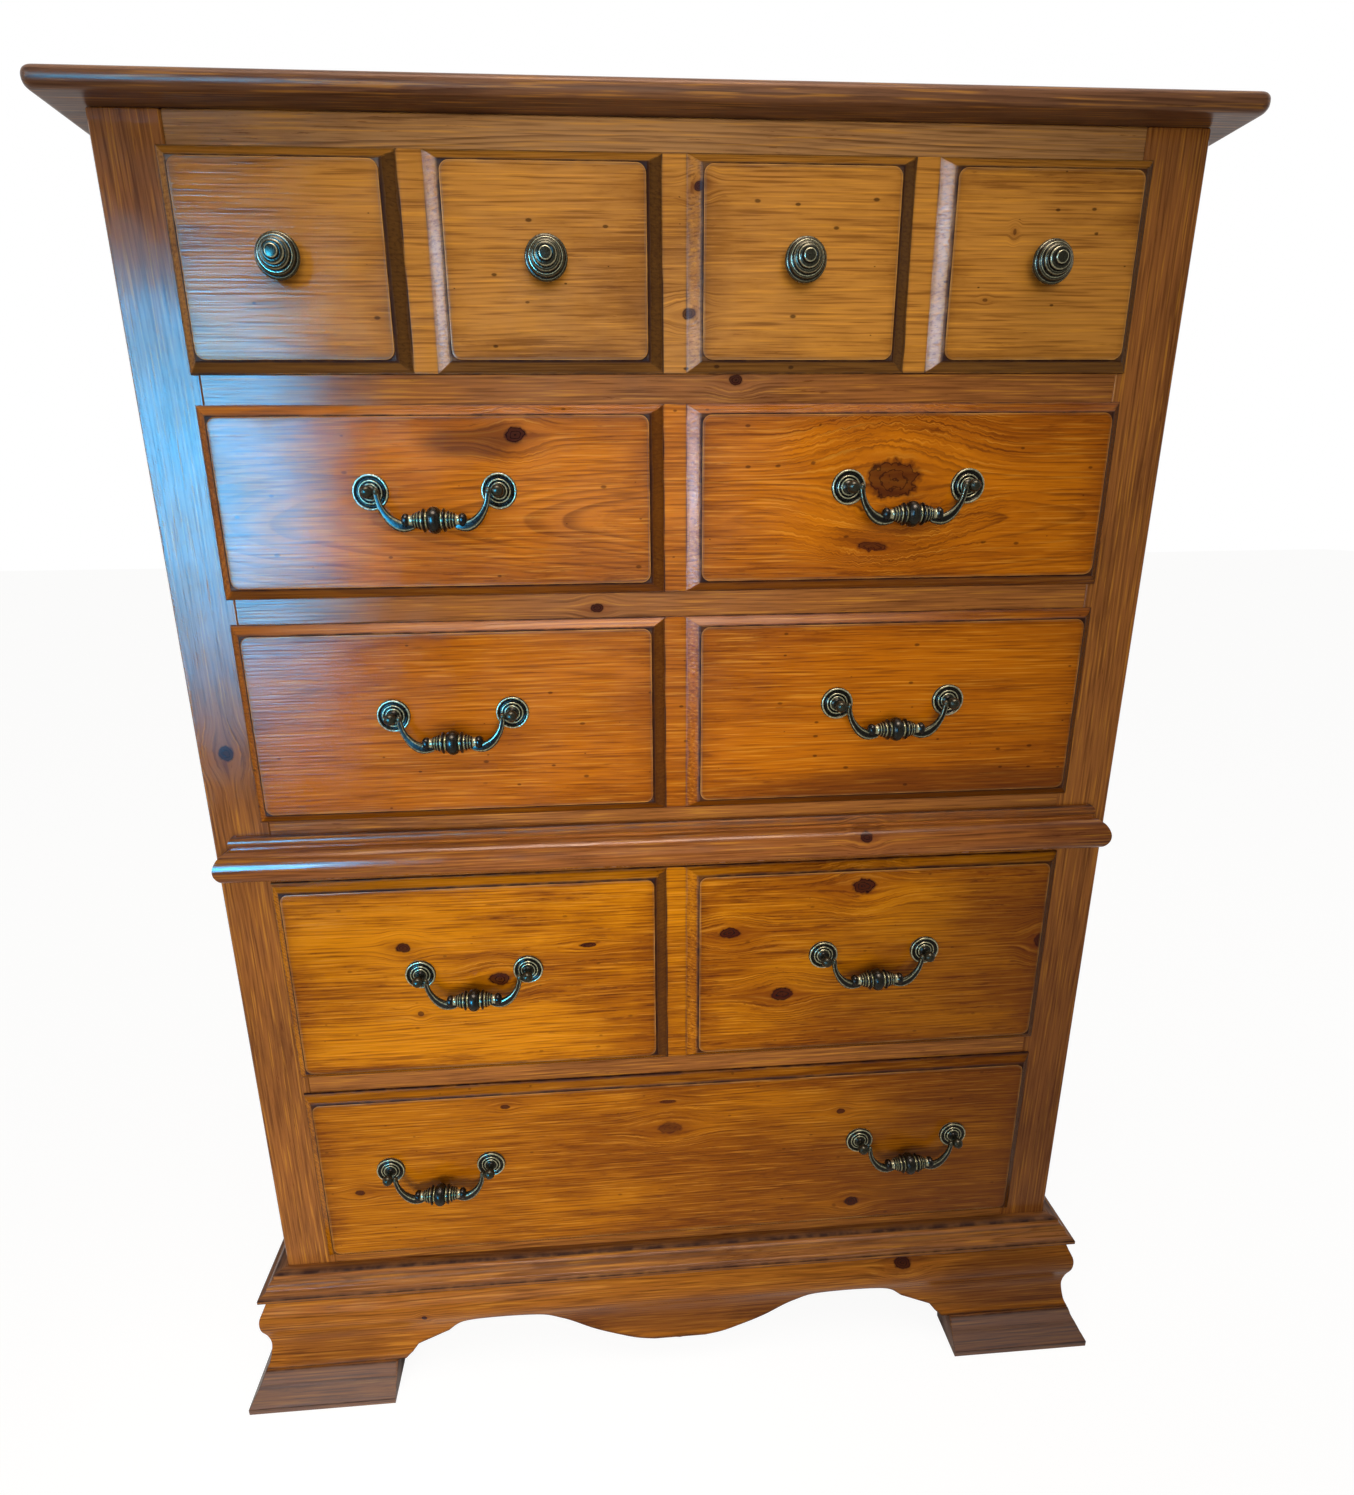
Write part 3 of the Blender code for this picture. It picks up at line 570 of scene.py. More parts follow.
@dataclass(frozen=True)
class StainAndShade:
    """A soft brown patch, for staining in the wood and for painted shade: where it is along and across
    the grain, how wide and tall, how dark.
    """

    along: float
    across: float
    width: float
    tall: float
    dark: float = 0.7


class Figure(NamedTuple):
    """Noise drawn out along the fibres: scales along and across them, octaves and roughness."""

    along: float
    across: float
    octaves: float = 2.0
    rough: float = 0.5


STREAKS = Figure(8.0, 130.0, 6.0, 0.72)
CLOUDS = Figure(9.0, 42.0, 5.0, 0.66)
PATCHES = Figure(5.0, 11.0, 1.0)
FIBRES = Figure(16.0, 600.0)
DASHES = Figure(30.0, 480.0, 4.0, 0.7)
DRIFT = Figure(1.7, 6.0, 1.0)
RIPPLE = Figure(9.0, 34.0)
SMEARS = Figure(30.0, 30.0, 3.0)

# How far the pith line sways with each noise
SWAYS = ((DRIFT, 0.045), (RIPPLE, 0.0045))
# Scales of the noises that make knots ragged, glaze and painted shade patchy, and arrises bare and
# highlit here and there
RAGGED_SCALE, GLAZE_AND_SHADE_SCALE, BARE_AND_LIT_SCALE = 150.0, 60.0, 25.0
# Holes: cells a metre, and how much longer than tall they are
HOLE_SCALE, HOLE_DRAW = 62.0, 0.55
# A knot's own rings, in radians a radius, its size in shares of its halo's, and the halo's strength
KNOT_PITCH = 17.0
HALO_SHARE = (0.3, 0.6)
HALO_DARK = 0.6
# What a noise is multiplied by and what is added, to make the edges of knots, stains and painted shade
# ragged
KNOT_EDGE, STAIN_AND_SHADE_EDGE = (0.8, -0.4), (1.2, -0.6)
# How fast the rings' strength changes, from ring to ring and along the board
RING_CHANGE, BOARD_CHANGE = 0.6, 2.2
# What streaks and edges add to the tone, clouds and edges to the smoke, and the tone to the flecks
STREAK_TONE, EDGE_TONE = 0.4, 0.22
CLOUD_SMOKE, EDGE_SMOKE = 0.8, 0.12
TONE_FLECKS = 0.25
# The varnish: how far its roughness spreads and what glaze with its painted shade adds, the share of
# each noise in its relief, and the relief's strength and height
MATT_SPREAD, GLAZE_AND_SHADE_MATT = (-0.04, 0.03), 0.5
DASH_RELIEF, RING_RELIEF = 0.6, -0.2
BUMP_STRENGTH, BUMP_HEIGHT = 0.45, 0.0003

# Smooth steps: from where to where in the value that drives them, and what they go from and to
DEEP_STEP = (1.12, 1.62)
DARK_FIBRES = (0.52, 0.68, 0.0, 0.55)
PALE_FIBRES = (0.30, 0.46, 0.34, 0.0)
SMOKE_STEP = (0.98, 1.30)
FLECK_STEP = (0.94, 1.02)
RIGHT_SHADE_RUN = (-0.34, 0.05)
PATCH_RIM = (0.55, 1.15)
RING_RISE = (0.25, 0.88)
RING_DROP = (0.88, 1.0, 1.0, 0.0)
RING_STRENGTH = (0.35, 0.68, 0.12, 1.0)
KNOT_PULL = (0.5, 5.0, 0.8, 0.0)
KNOT_RIM = (0.8, 1.15)
KNOT_LINES = (0.4, 0.9, 0.0, 0.85)
HALO_RIM = (0.2, 1.2)
HALO_STREAKS = (0.35, 0.6)
HOLE_SIZES = (0.0, 1.0, 0.025, 0.10)
HOLE_RIM = (0.5, 1.1, 1.0, 0.0)
HOLES_SHOWN = (0.80, 0.82)
GLAZE_AND_SHADE_STEP = (0.35, 0.62, 0.7, 1.0)
BARE_AND_LIT_STEP = (0.35, 0.65, 0.1, 0.4)
SMEAR_STEP = (0.3, 0.7)

PALE_WOOD: Paint = (226, 156, 50)
FLECK: Paint = (78, 30, 8)
BROWN_PATCH: Paint = (74, 32, 14)
KNOT_HALO: Paint = (98, 38, 8)
KNOT_HEART: Paint = (48, 8, 8)
KNOT_RING: Paint = (16, 5, 5)
WORM_HOLE: Paint = (40, 16, 6)
# Glaze, which is also painted shade in the recesses and along the drawer lips, and bare arrises, which
# are also a painted highlight
GLAZE_AND_SHADE: Paint = (40, 14, 6)
BARE_AND_LIT_ARRIS: Paint = (226, 170, 96)


@dataclass(frozen=True)
class PineFinish:
    """Stained and varnished pine with growth rings, streaks and knots, glaze and painted shade in the
    recesses, and painted highlights.
    """

    name: str
    light: Paint = (204, 126, 14)
    deep: Paint = (124, 64, 6)
    late: Paint = (92, 42, 5)
    grain: Grain = Grain.ACROSS
    board: Point = (0.0, 0.0, 0.0)
    pith: tuple[float, float] = (0.040, 0.010)
    tilt: float = 0.03
    ring: float = 0.0036
    contrast: float = 0.55
    cloud: float = 0.75
    smoke: float = 0.35
    specks: float = 0.0
    flecks: float = 0.6
    # Painted shade: how much deeper the tone gets towards the right end of the board
    shade_to_right: float = 0.0
    knots: tuple[Knot, ...] = ()
    # Brown patches: stains in the wood, and painted shade on the right of the lower fronts
    stains_and_shade: tuple[StainAndShade, ...] = ()
    # The colour of the bevel mark: painted shade on drawer bevels, and the foot blocks' greyer tint on
    # the base
    bevel: Paint = (66, 36, 12)
    roughness: float = 0.17
    gloss: float = 0.19

    def board_point(self, recipe: Recipe, place: Socket) -> Socket:
        """The place in the board, with the fibres along x, its face along y and its width along z.

        Args:
            recipe: the material in the making.
            place: the place on the object.

        Returns:
            The place, moved to this board's own piece of the tree.
        """
        turns = {
            Grain.ACROSS: (0.0, 0.0, 0.0),
            Grain.BACK: (0.0, 0.0, -math.pi / 2),
            Grain.UP: (0.0, math.pi / 2, 0.0),
        }
        mitred = self.grain is Grain.MITRED
        runs = [
            recipe.node("Mapping", {"Vector": place, "Rotation": turns[way]}).outputs[0]
            for way in ((Grain.ACROSS, Grain.BACK) if mitred else (self.grain,))
        ]
        point = runs[0]
        if mitred:
            part = recipe.parts(place)
            past = recipe.sums("ADD", recipe.sums("ABSOLUTE", part["X"]), part["Y"])
            point = recipe.mix(recipe.sums("GREATER_THAN", past, MITRE_SUM), *runs)
        return recipe.vectors("ADD", point, self.board)

    def drawn(self, recipe: Recipe, point: Socket, figure: Figure) -> Socket:
        """Noise that is drawn out along the fibres of the board."""
        scale = (figure.along, figure.across, figure.across)
        return recipe.noise(recipe.vectors("MULTIPLY", point, scale), 1.0, figure.octaves, figure.rough)

    def away_from(self, recipe: Recipe, point: Socket, spot: Knot | StainAndShade) -> Socket:
        """The way from the middle of a knot or a brown patch to a place in the board."""
        centre = (spot.along + self.board[0], 0.0, spot.across + self.board[2])
        return recipe.vectors("SUBTRACT", point, centre)

    def radii(self, recipe: Recipe, away: Socket, width: float, tall: float) -> Socket:
        """How many of its own radii a place is from the middle of an oval."""
        flat = recipe.vectors("MULTIPLY", away, (1 / width, 0.0, 1 / tall))
        return recipe.vectors("LENGTH", flat)

    def round_knots(self, recipe: Recipe, point: Socket) -> tuple[Socket, Socket, Socket, Socket]:
        """Bends the grain round the knots.

        At R knot radii from a knot's middle, the distance across the grain shrinks to a share that grows
        from one fifth inside the knot to one at five radii, so the lines of the grain bulge round it.

        Args:
            recipe: the material in the making.
            point: the place in the board.

        Returns:
            The bent place, how far inside a knot it is, the rings of the knot and the stain round it.
        """
        inside, halo, whorl = 0.0, 0.0, 0.0
        if self.knots:
            ragged = recipe.sums("MULTIPLY_ADD", recipe.noise(point, RAGGED_SCALE), *KNOT_EDGE)
        for knot in self.knots:
            away = self.away_from(recipe, point, knot)
            radius = recipe.sums("ADD", ragged, self.radii(recipe, away, knot.width, knot.tall))
            pull = recipe.ramp(radius, *KNOT_PULL)
            across = recipe.vectors("MULTIPLY", away, (0.0, 0.0, 1.0))
            shift = recipe.node("VectorMath", {0: across, "Scale": pull}, operation="SCALE").outputs[0]
            point = recipe.vectors("SUBTRACT", point, shift)
            spot = recipe.ramp(radius, *KNOT_RIM, knot.dark, 0.0)
            inside = recipe.sums("MAXIMUM", inside, spot)
            wide = self.radii(recipe, away, knot.width / HALO_SHARE[0], knot.tall / HALO_SHARE[1])
            soaked = recipe.ramp(wide, *HALO_RIM, HALO_DARK * knot.dark, 0.0)
            halo = recipe.sums("MAXIMUM", halo, soaked)
            turns = recipe.sums("SINE", recipe.sums("MULTIPLY", radius, KNOT_PITCH))
            whorl = recipe.sums("MAXIMUM", whorl, recipe.sums("MULTIPLY", turns, spot))
        return point, inside, whorl, halo

    def rings(self, recipe: Recipe, point: Socket) -> Socket:
        """The dark latewood lines.

        A place's ring number is its distance from a slanting, wandering pith line over the ring's width.
        Within a ring the tone rises slowly and drops sharply.

        Args:
            recipe: the material in the making.
            point: the place in the board.

        Returns:
            The tone of the latewood, 0 to 1.
        """
        part = recipe.parts(point)
        depth = recipe.sums("MULTIPLY_ADD", part["X"], self.tilt, part["Y"])
        depth = recipe.sums("ADD", depth, self.pith[0])
        across = recipe.sums("ADD", part["Z"], self.pith[1])
        away = recipe.vectors("LENGTH", recipe.node("CombineXYZ", {"Y": depth, "Z": across}).outputs[0])
        for figure, sway in SWAYS:
            away = recipe.sums("MULTIPLY_ADD", self.drawn(recipe, point, figure), sway, away)
        count = recipe.sums("DIVIDE", away, self.ring)
        share = recipe.sums("FRACT", count)
        line = recipe.sums("MULTIPLY", recipe.ramp(share, *RING_RISE), recipe.ramp(share, *RING_DROP))
        year = recipe.sums("MULTIPLY", count, RING_CHANGE)
        along = recipe.sums("MULTIPLY", part["X"], BOARD_CHANGE)
        uneven = recipe.noise(recipe.node("CombineXYZ", {"X": year, "Y": along}).outputs[0], 1.0)
        return recipe.sums("MULTIPLY", line, recipe.ramp(uneven, *RING_STRENGTH))

    def speckle(self, recipe: Recipe, point: Socket) -> Socket:
        """Worm holes and nicks: a dark dot in some of the cells of a flat honeycomb.

        Args:
            recipe: the material in the making.
            point: the place in the board.

        Returns:
            How much of a hole a place has, 0 to 1.
        """
        part = recipe.parts(point)
        along = recipe.sums("MULTIPLY", part["X"], HOLE_DRAW)
        face = recipe.node("CombineXYZ", {"X": along, "Y": part["Z"]}).outputs[0]
        inputs = {"Vector": face, "Scale": HOLE_SCALE}
        cells = recipe.node("TexVoronoi", inputs, voronoi_dimensions="2D")
        shown = recipe.node("SeparateColor", {0: cells.outputs["Color"]}).outputs
        size = recipe.ramp(shown[1], *HOLE_SIZES)
        share = recipe.sums("DIVIDE", cells.outputs["Distance"], size)
        dot = recipe.ramp(share, *HOLE_RIM)
        return recipe.sums("MULTIPLY", dot, recipe.ramp(shown[0], *HOLES_SHOWN, 0.0, self.specks))

    def stained(self, recipe: Recipe, point: Socket, place: Socket, late: Socket, tones: dict) -> Socket:
        """The colour of the stained wood: clouds, latewood, fibres, smoky streaks, flecks, patches of
        staining and of painted shade, and painted shade to the right.

        Args:
            recipe: the material in the making.
            point: the place in the board.
            place: the place on the object.
            late: the tone of the latewood.
            tones: the noises by name: streak, cloud, patch, fibre and dash.

        Returns:
            The colour.
        """
        streak, cloud, patch, fibre, dash = tones.values()
        edge = recipe.mark("edge")
        tone = recipe.sums("MULTIPLY_ADD", streak, STREAK_TONE, recipe.sums("ADD", cloud, patch))
        tone = recipe.sums("MULTIPLY_ADD", edge, EDGE_TONE, tone)
        # Painted shade: the tone deepens towards the right
        if self.shade_to_right:
            shaded_right = recipe.ramp(recipe.parts(place)["X"], *RIGHT_SHADE_RUN, 0.0, self.shade_to_right)
            tone = recipe.sums("ADD", tone, shaded_right)
        thick = recipe.sums("MULTIPLY_ADD", cloud, CLOUD_SMOKE, streak)
        thick = recipe.sums("MULTIPLY_ADD", edge, EDGE_SMOKE, thick)
        dashed = recipe.sums("MULTIPLY_ADD", tone, TONE_FLECKS, dash)
        layers = (
            (recipe.ramp(tone, *DEEP_STEP, 0.0, self.cloud), self.deep),
            (recipe.sums("MULTIPLY", late, self.contrast), self.late),
            (recipe.ramp(fibre, *DARK_FIBRES), self.late),
            (recipe.ramp(fibre, *PALE_FIBRES), PALE_WOOD),
            (recipe.ramp(thick, *SMOKE_STEP, 0.0, self.smoke), self.late),
            (recipe.ramp(dashed, *FLECK_STEP, 0.0, self.flecks), FLECK),
        )
        colour = tint(*self.light)
        for share, paint in layers:
            colour = recipe.over(colour, share, paint)
        # Stains in the wood, and patches of painted shade
        for dark_patch in self.stains_and_shade:
            radius = self.radii(recipe, self.away_from(recipe, point, dark_patch), dark_patch.width, dark_patch.tall)
            ragged = recipe.sums("ADD", radius, STAIN_AND_SHADE_EDGE[1])
            radius = recipe.sums("MULTIPLY_ADD", streak, STAIN_AND_SHADE_EDGE[0], ragged)
            share = recipe.ramp(radius, *PATCH_RIM, dark_patch.dark, 0.0)
            colour = recipe.over(colour, share, BROWN_PATCH)
        return colour

    def material(self) -> Material:
        """Mixes the finish: the stained wood, then knots and holes, the bevel mark, glaze with painted
        shade, wear with painted highlights, and the varnish.

        Returns:
            The material.
        """
        recipe = Recipe(self.name)
        place = recipe.node("TexCoord").outputs["Object"]
        point, inside, whorl, halo = self.round_knots(recipe, self.board_point(recipe, place))
        late = self.rings(recipe, point)
        figures = {"streak": STREAKS, "cloud": CLOUDS, "patch": PATCHES, "fibre": FIBRES, "dash": DASHES}
        tones = {name: self.drawn(recipe, point, figure) for name, figure in figures.items()}
        colour = self.stained(recipe, point, place, late, tones)
        if self.knots:
            soaked = recipe.sums("MULTIPLY", halo, recipe.ramp(tones["streak"], *HALO_STREAKS))
            colour = recipe.over(colour, soaked, KNOT_HALO)
            colour = recipe.over(colour, inside, KNOT_HEART)
            colour = recipe.over(colour, recipe.ramp(whorl, *KNOT_LINES), KNOT_RING)
        if self.specks:
            colour = recipe.over(colour, self.speckle(recipe, point), WORM_HOLE)
        # Glaze with painted shade in the recesses, wear with a painted highlight on the arrises, and the
        # bevel mark
        uneven = recipe.ramp(recipe.noise(point, GLAZE_AND_SHADE_SCALE), *GLAZE_AND_SHADE_STEP)
        glaze = recipe.sums("MULTIPLY", recipe.mark("glaze"), uneven)
        worn_and_lit = recipe.ramp(recipe.noise(point, BARE_AND_LIT_SCALE), *BARE_AND_LIT_STEP)
        worn_and_lit = recipe.sums("MULTIPLY", recipe.mark("wear"), worn_and_lit)
        for share, paint in ((recipe.mark("bevel"), self.bevel), (glaze, GLAZE_AND_SHADE), (worn_and_lit, BARE_AND_LIT_ARRIS)):
            colour = recipe.over(colour, share, paint)
        smear = self.drawn(recipe, point, SMEARS)
        matt = recipe.ramp(smear, *SMEAR_STEP, *(self.roughness + step for step in MATT_SPREAD))
        relief = recipe.sums("MULTIPLY_ADD", tones["dash"], DASH_RELIEF, tones["fibre"])
        relief = recipe.sums("MULTIPLY_ADD", late, RING_RELIEF, relief)
        inputs = {"Height": relief, "Strength": BUMP_STRENGTH, "Distance": BUMP_HEIGHT}
        bump = recipe.node("Bump", inputs)
        recipe.shade(
            Base_Color=colour,
            Roughness=recipe.sums("MULTIPLY_ADD", glaze, GLAZE_AND_SHADE_MATT, matt),
            Specular_IOR_Level=self.gloss,
            Normal=bump.outputs[0],
        )
        return recipe.material


@dataclass(frozen=True)
class BrassFinish:
    """Antique brass: a dark patina that is rubbed bright on the ridges."""

    name: str = "antique_brass_rubbed"
    patina: Paint = (52, 52, 42)
    rubbed: Paint = (180, 180, 152)
    groove: Paint = (10, 9, 7)
    roughness: float = 0.27
    matt_spread: tuple[float, float] = (-0.05, 0.04)
    metal: float = 0.62
    groove_metal: float = 0.4
    cloud_scale: float = 380.0
    cloud_octaves: float = 3.0
    cloud_rub: float = 0.16
    hollow_step: tuple[float, float] = (0.0, 0.45)
    ridge_step: tuple[float, float] = (0.28, 0.90)

    def material(self) -> Material:
        """Mixes the finish from the marks of hollows and ridges and a fine cloud.

        Returns:
            The material.
        """
        recipe = Recipe(self.name)
        place = recipe.node("TexCoord").outputs["Object"]
        cloud = recipe.noise(place, self.cloud_scale, self.cloud_octaves)
        ridge = recipe.sums("MULTIPLY_ADD", cloud, self.cloud_rub, recipe.mark("ridge"))
        hollow = recipe.ramp(recipe.mark("hollow"), *self.hollow_step)
        colour = recipe.over(tint(*self.patina), recipe.ramp(ridge, *self.ridge_step), self.rubbed)
        dull = recipe.sums("MULTIPLY", hollow, self.groove_metal)
        recipe.shade(
            Base_Color=recipe.over(colour, hollow, self.groove),
            Metallic=recipe.sums("SUBTRACT", self.metal, dull),
            Roughness=recipe.ramp(
                cloud, *SMEAR_STEP, *(self.roughness + step for step in self.matt_spread)
            ),
        )
        return recipe.material


# The case


@dataclass
class TopBoard:
    """The top: one plain board with a bullnose at the front and both ends."""

    finish: Material
    node: str = "top_board"
    nose: float = 0.0063
    corner: float = 0.0045
    tightest: float = 0.0012
    flat_margin: float = 0.004
    nose_steps: int = 16
    corner_steps: int = 6
    side_steps: int = 24

    def shell(self) -> Shell:
        """Level loops stacked from the underside up.

        A loop is the board's outline moved in by nose (1 - cos a) and up by nose sin a, for a from a
        quarter turn below the level to a quarter turn above it, and the rear side isn't moved in.

        Returns:
            The closed board.
        """
        low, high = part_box(self.node)
        middle = (low.z + high.z) / 2
        lift = (high.z - low.z) / 2 - self.nose
        angle = np.linspace(-np.pi / 2, np.pi / 2, self.nose_steps + 1)
        flat = [self.nose + self.flat_margin]
        inset = np.concatenate([flat, self.nose * (1 - np.cos(angle)), flat])
        level = middle + np.sign(angle) * lift + self.nose * np.sin(angle)
        level = np.concatenate([[low.z], level, [high.z]])
        loops = []
        for inward, z in zip(inset, level):
            radius = max(self.corner + self.nose - inward, self.tightest)
            corners = ((low.x + inward, low.y + inward), (high.x - inward, high.y + radius))
            loop = rounded_loop(*corners, radius, self.corner_steps, self.side_steps)
            loop[:, 1] = np.minimum(loop[:, 1], high.y)
            loops.append(np.column_stack([loop, np.full(len(loop), z)]))
        return woven(np.array(loops), around=True, caps=True)

    def build(self) -> None:
        """Puts the board on the case."""
        placed("bullnosed_top", self.shell(), self.finish, "case", self.node, crease=50.0)


@dataclass
class Moulding:
    """A moulding that is planted on the case, with its profile in shares of its stand and its rise."""

    finish: Material
    node: str
    stand: float
    rise: float
    per_span: int
    shares: Pairs
    crisp: tuple[int, ...]

    def profile(self) -> np.ndarray:
        """The face from its foot up, smooth but for its crisp corners, and a back just off the case.

        Returns:
            (stand, height) of each point.
        """
        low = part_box(self.node)[0].z
        points = np.array(self.shares) * (self.stand, self.rise) + (0.0, low)
        face = np.minimum(flowing(points, self.per_span, self.crisp), (self.stand, np.inf))
        return np.concatenate([[(GAP, low)], face, [(GAP, low + self.rise)]])

    def run(self, rings: Sequence[np.ndarray]) -> Shell:
        """The closed run through copies of the profile, with glaze and painted shade in its grooves."""
        glaze = groove_glaze_and_shade(self.profile())
        return woven(np.array(rings), {"glaze": glaze}, around=True, caps=True)


@dataclass
class WaistMoulding(Moulding):
    """The half round with a bead above it, planted on the front and returned on itself at both ends."""

    node: str = "waist_moulding"
    stand: float = 0.020
    rise: float = 0.042
    per_span: int = 5
    shares: Pairs = (
        (0.400, 0.000), (0.775, 0.083), (0.950, 0.214), (1.000, 0.357), (0.940, 0.500),
        (0.775, 0.631), (0.525, 0.714), (0.340, 0.738), (0.310, 0.774), (0.390, 0.833),
        (0.390, 0.929), (0.290, 1.000),
    )
    crisp: tuple[int, ...] = (7, 8)
    steps: int = 48

    def build(self) -> None:
        """Carries the profile along the front, turned at each end by the stand of each point."""
        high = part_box(self.node)[1]
        profile = self.profile()
        stand, level = profile[:, 0], profile[:, 1]
        reach = high.x - self.stand + stand
        rear = CASE_FRONT - GAP
        left = np.column_stack([-reach, np.full_like(stand, rear), level])
        right = left * (-1.0, 1.0, 1.0)
        face = [
            np.column_stack([share * reach, rear - stand, level])
            for share in np.linspace(-1.0, 1.0, self.steps + 1)
        ]
        shell = self.run([left, *face, right])
        placed("waist_half_round", shell, self.finish, "case", self.node)


@dataclass
class BaseMoulding(Moulding):
    """The stepped cove round the foot of the case, in three mitred lengths."""

    node: str = "base_moulding"
    stand: float = 0.0252
    rise: float = 0.023
    per_span: int = 4
    shares: Pairs = (
        (0.952, 0.000), (1.000, 0.052), (1.000, 0.196), (0.937, 0.270), (0.794, 0.313),
        (0.706, 0.435), (0.659, 0.587), (0.556, 0.730), (0.444, 0.783), (0.444, 0.948),
        (0.397, 1.000),
    )
    crisp: tuple[int, ...] = (3, 4, 7, 8)
    front_steps: int = 32
    side_steps: int = 16

    def build(self) -> None:
        """Carries the profile back along each side and along the front, with mitred corners."""
        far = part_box(self.node)[1].y
        profile = self.profile()
        stand, level = profile[:, 0], profile[:, 1]
        reach, near = CASE_HALF + stand, CASE_FRONT - stand
        front = self.run([
            np.column_stack([share * reach, near, level])
            for share in np.linspace(-1.0, 1.0, self.front_steps + 1)
        ])
        side = self.run([
            np.column_stack([reach, near + share * (far - near), level])
            for share in np.linspace(0.0, 1.0, self.side_steps + 1)
        ])
        shell = joined([front, side, side.mirrored()])
        placed("stepped_cove", shell, self.finish, "case", self.node)


@dataclass
class BracketBase:
    """The ogee bracket base: a scalloped apron in front, plain arches at the sides, flared blocks."""

    finish: Material
    side_finish: Material
    height: float = 0.1267
    backing: float = 0.004
    foot_stand: float = 0.0442
    toe_height: float = 0.0062
    block_height: float = 0.039
    block_top_stand: float = 0.027
    joint_depth: float = 0.0018
    joint_drop: float = 0.0006
    cove_stand: float = 0.0205
    bulge_stand: float = 0.0262
    collar_stand: float = 0.0175
    front_foot: float = 0.109
    side_foot: float = 0.106
    rear_foot: float = 0.110
    inner_slant: float = 0.010
    block_slant: float = 0.0025
    pendant: float = 0.0385
    step: float = 0.0535
    arch: float = 0.0845
    side_arch_share: float = 0.376569
    sliver: float = 0.001
    end_margin: float = 0.0005
    # Glaze with painted shade just above the brackets' lower edge, and how high it reaches
    edge_glaze_and_shade: float = 0.8
    edge_glaze_and_shade_rise: float = 0.002
    block_grey: float = 0.54
    block_grey_start: float = 0.0010
    block_grey_rise: float = 0.0005
    even_columns: int = 60
    steep_columns: int = 6
    steep_gap: float = 0.004

    def profile(self) -> np.ndarray:
        """The face: the flared block, the glue line, and a smooth run of cove, bulge and collar.

        Returns:
            (stand, height) of each point, from the floor up.
        """
        flare = self.foot_stand - self.block_top_stand
        above_toe = self.block_height - self.toe_height
        shares = ((1.0, 0.0), (0.90, 0.07), (0.41, 0.56), (0.28, 0.63), (0.08, 0.94), (0.0, 0.98))
        block = [
            (self.block_top_stand + out * flare, self.toe_height + up * above_toe) for out, up in shares
        ]
        block = flowing([(self.foot_stand, 0.0), *block], 4, (1, 3, 4))
        joint = np.array([(self.block_top_stand - self.joint_depth, self.block_height)])
        rise = self.height - self.block_height
        block_top, cove = self.block_top_stand, self.cove_stand
        bulge, collar = self.bulge_stand, self.collar_stand
        ogee = (
            (block_top, 0.009), (0.55 * cove + 0.45 * block_top, 0.103), (cove, 0.308),
            (0.70 * cove + 0.30 * bulge, 0.468), (bulge, 0.616), (bulge, 0.764),
            (0.54 * collar + 0.46 * bulge, 0.889), (collar, 1.0),
        )
        ogee = flowing([(out, self.block_height + up * rise) for out, up in ogee], 6)
        return np.minimum(np.concatenate([block, joint, ogee]), (self.foot_stand, self.height))

    def front_outline(self) -> np.ndarray:
        """The front bracket's lower edge: a smooth scallop out from the pendant, a step and the foot.

        Returns:
            (distance from the middle, height) of each point.
        """
        reach = CASE_HALF - self.front_foot
        drop = self.arch - self.pendant
        shares = (
            (0.000, 0.000), (0.090, 0.028), (0.187, 0.119), (0.306, 0.367), (0.413, 0.725),
            (0.490, 0.945), (0.632, 1.000), (0.752, 0.917), (0.813, 0.615),
        )
        scallop = flowing([(along * reach, self.pendant + up * drop) for along, up in shares], 10)
        above = self.step - self.block_height
        shares = ((0.865, 1.45), (0.919, 1.0), (0.940, 0.45))
        step = [(along * reach, self.block_height + up * above) for along, up in shares]
        foot = [
            (reach - self.inner_slant, self.block_height),
            (reach - self.block_slant, self.block_height - self.joint_drop),
            (reach, 0.0),
            (reach + self.sliver, 0.0),
        ]
        return np.concatenate([scallop, step, foot])

    def side_outline(self, rear: float) -> np.ndarray:
        """A side bracket's lower edge: two feet and steps, and one smooth arch between them.

        Args:
            rear: the rear end of the bracket.

        Returns:
            (place from front to back, height) of each point.
        """
        near, far = CASE_FRONT + self.side_foot, rear - self.rear_foot
        above = self.step - self.block_height
        rise = self.arch - self.step
        run = self.side_arch_share * (far - near)
        block = [
            (-self.sliver, 0.0),
            (0.0, 0.0),
            (self.block_slant, self.block_height - self.joint_drop),
            (0.9 * self.inner_slant, self.block_height),
        ]
        step = [(0.21 * run, self.block_height + 0.45 * above), (0.33 * run, self.step)]
        shares = ((0.58, 0.32), (0.71, 0.76), (1.0, 1.0))
        arch = flowing([(along * run, self.step + up * rise) for along, up in shares], 8)
        low = np.concatenate([block, step, arch])
        return np.concatenate([low + (near, 0.0), (low * (-1.0, 1.0) + (far, 0.0))[::-1]])

    def block_mark(self, level: np.ndarray) -> np.ndarray:
        """How much of the foot blocks' greyer tint a point has."""
        below_joint = (self.block_height - self.block_grey_start - level) / self.block_grey_rise
        return np.clip(below_joint, 0.0, 1.0) * self.block_grey

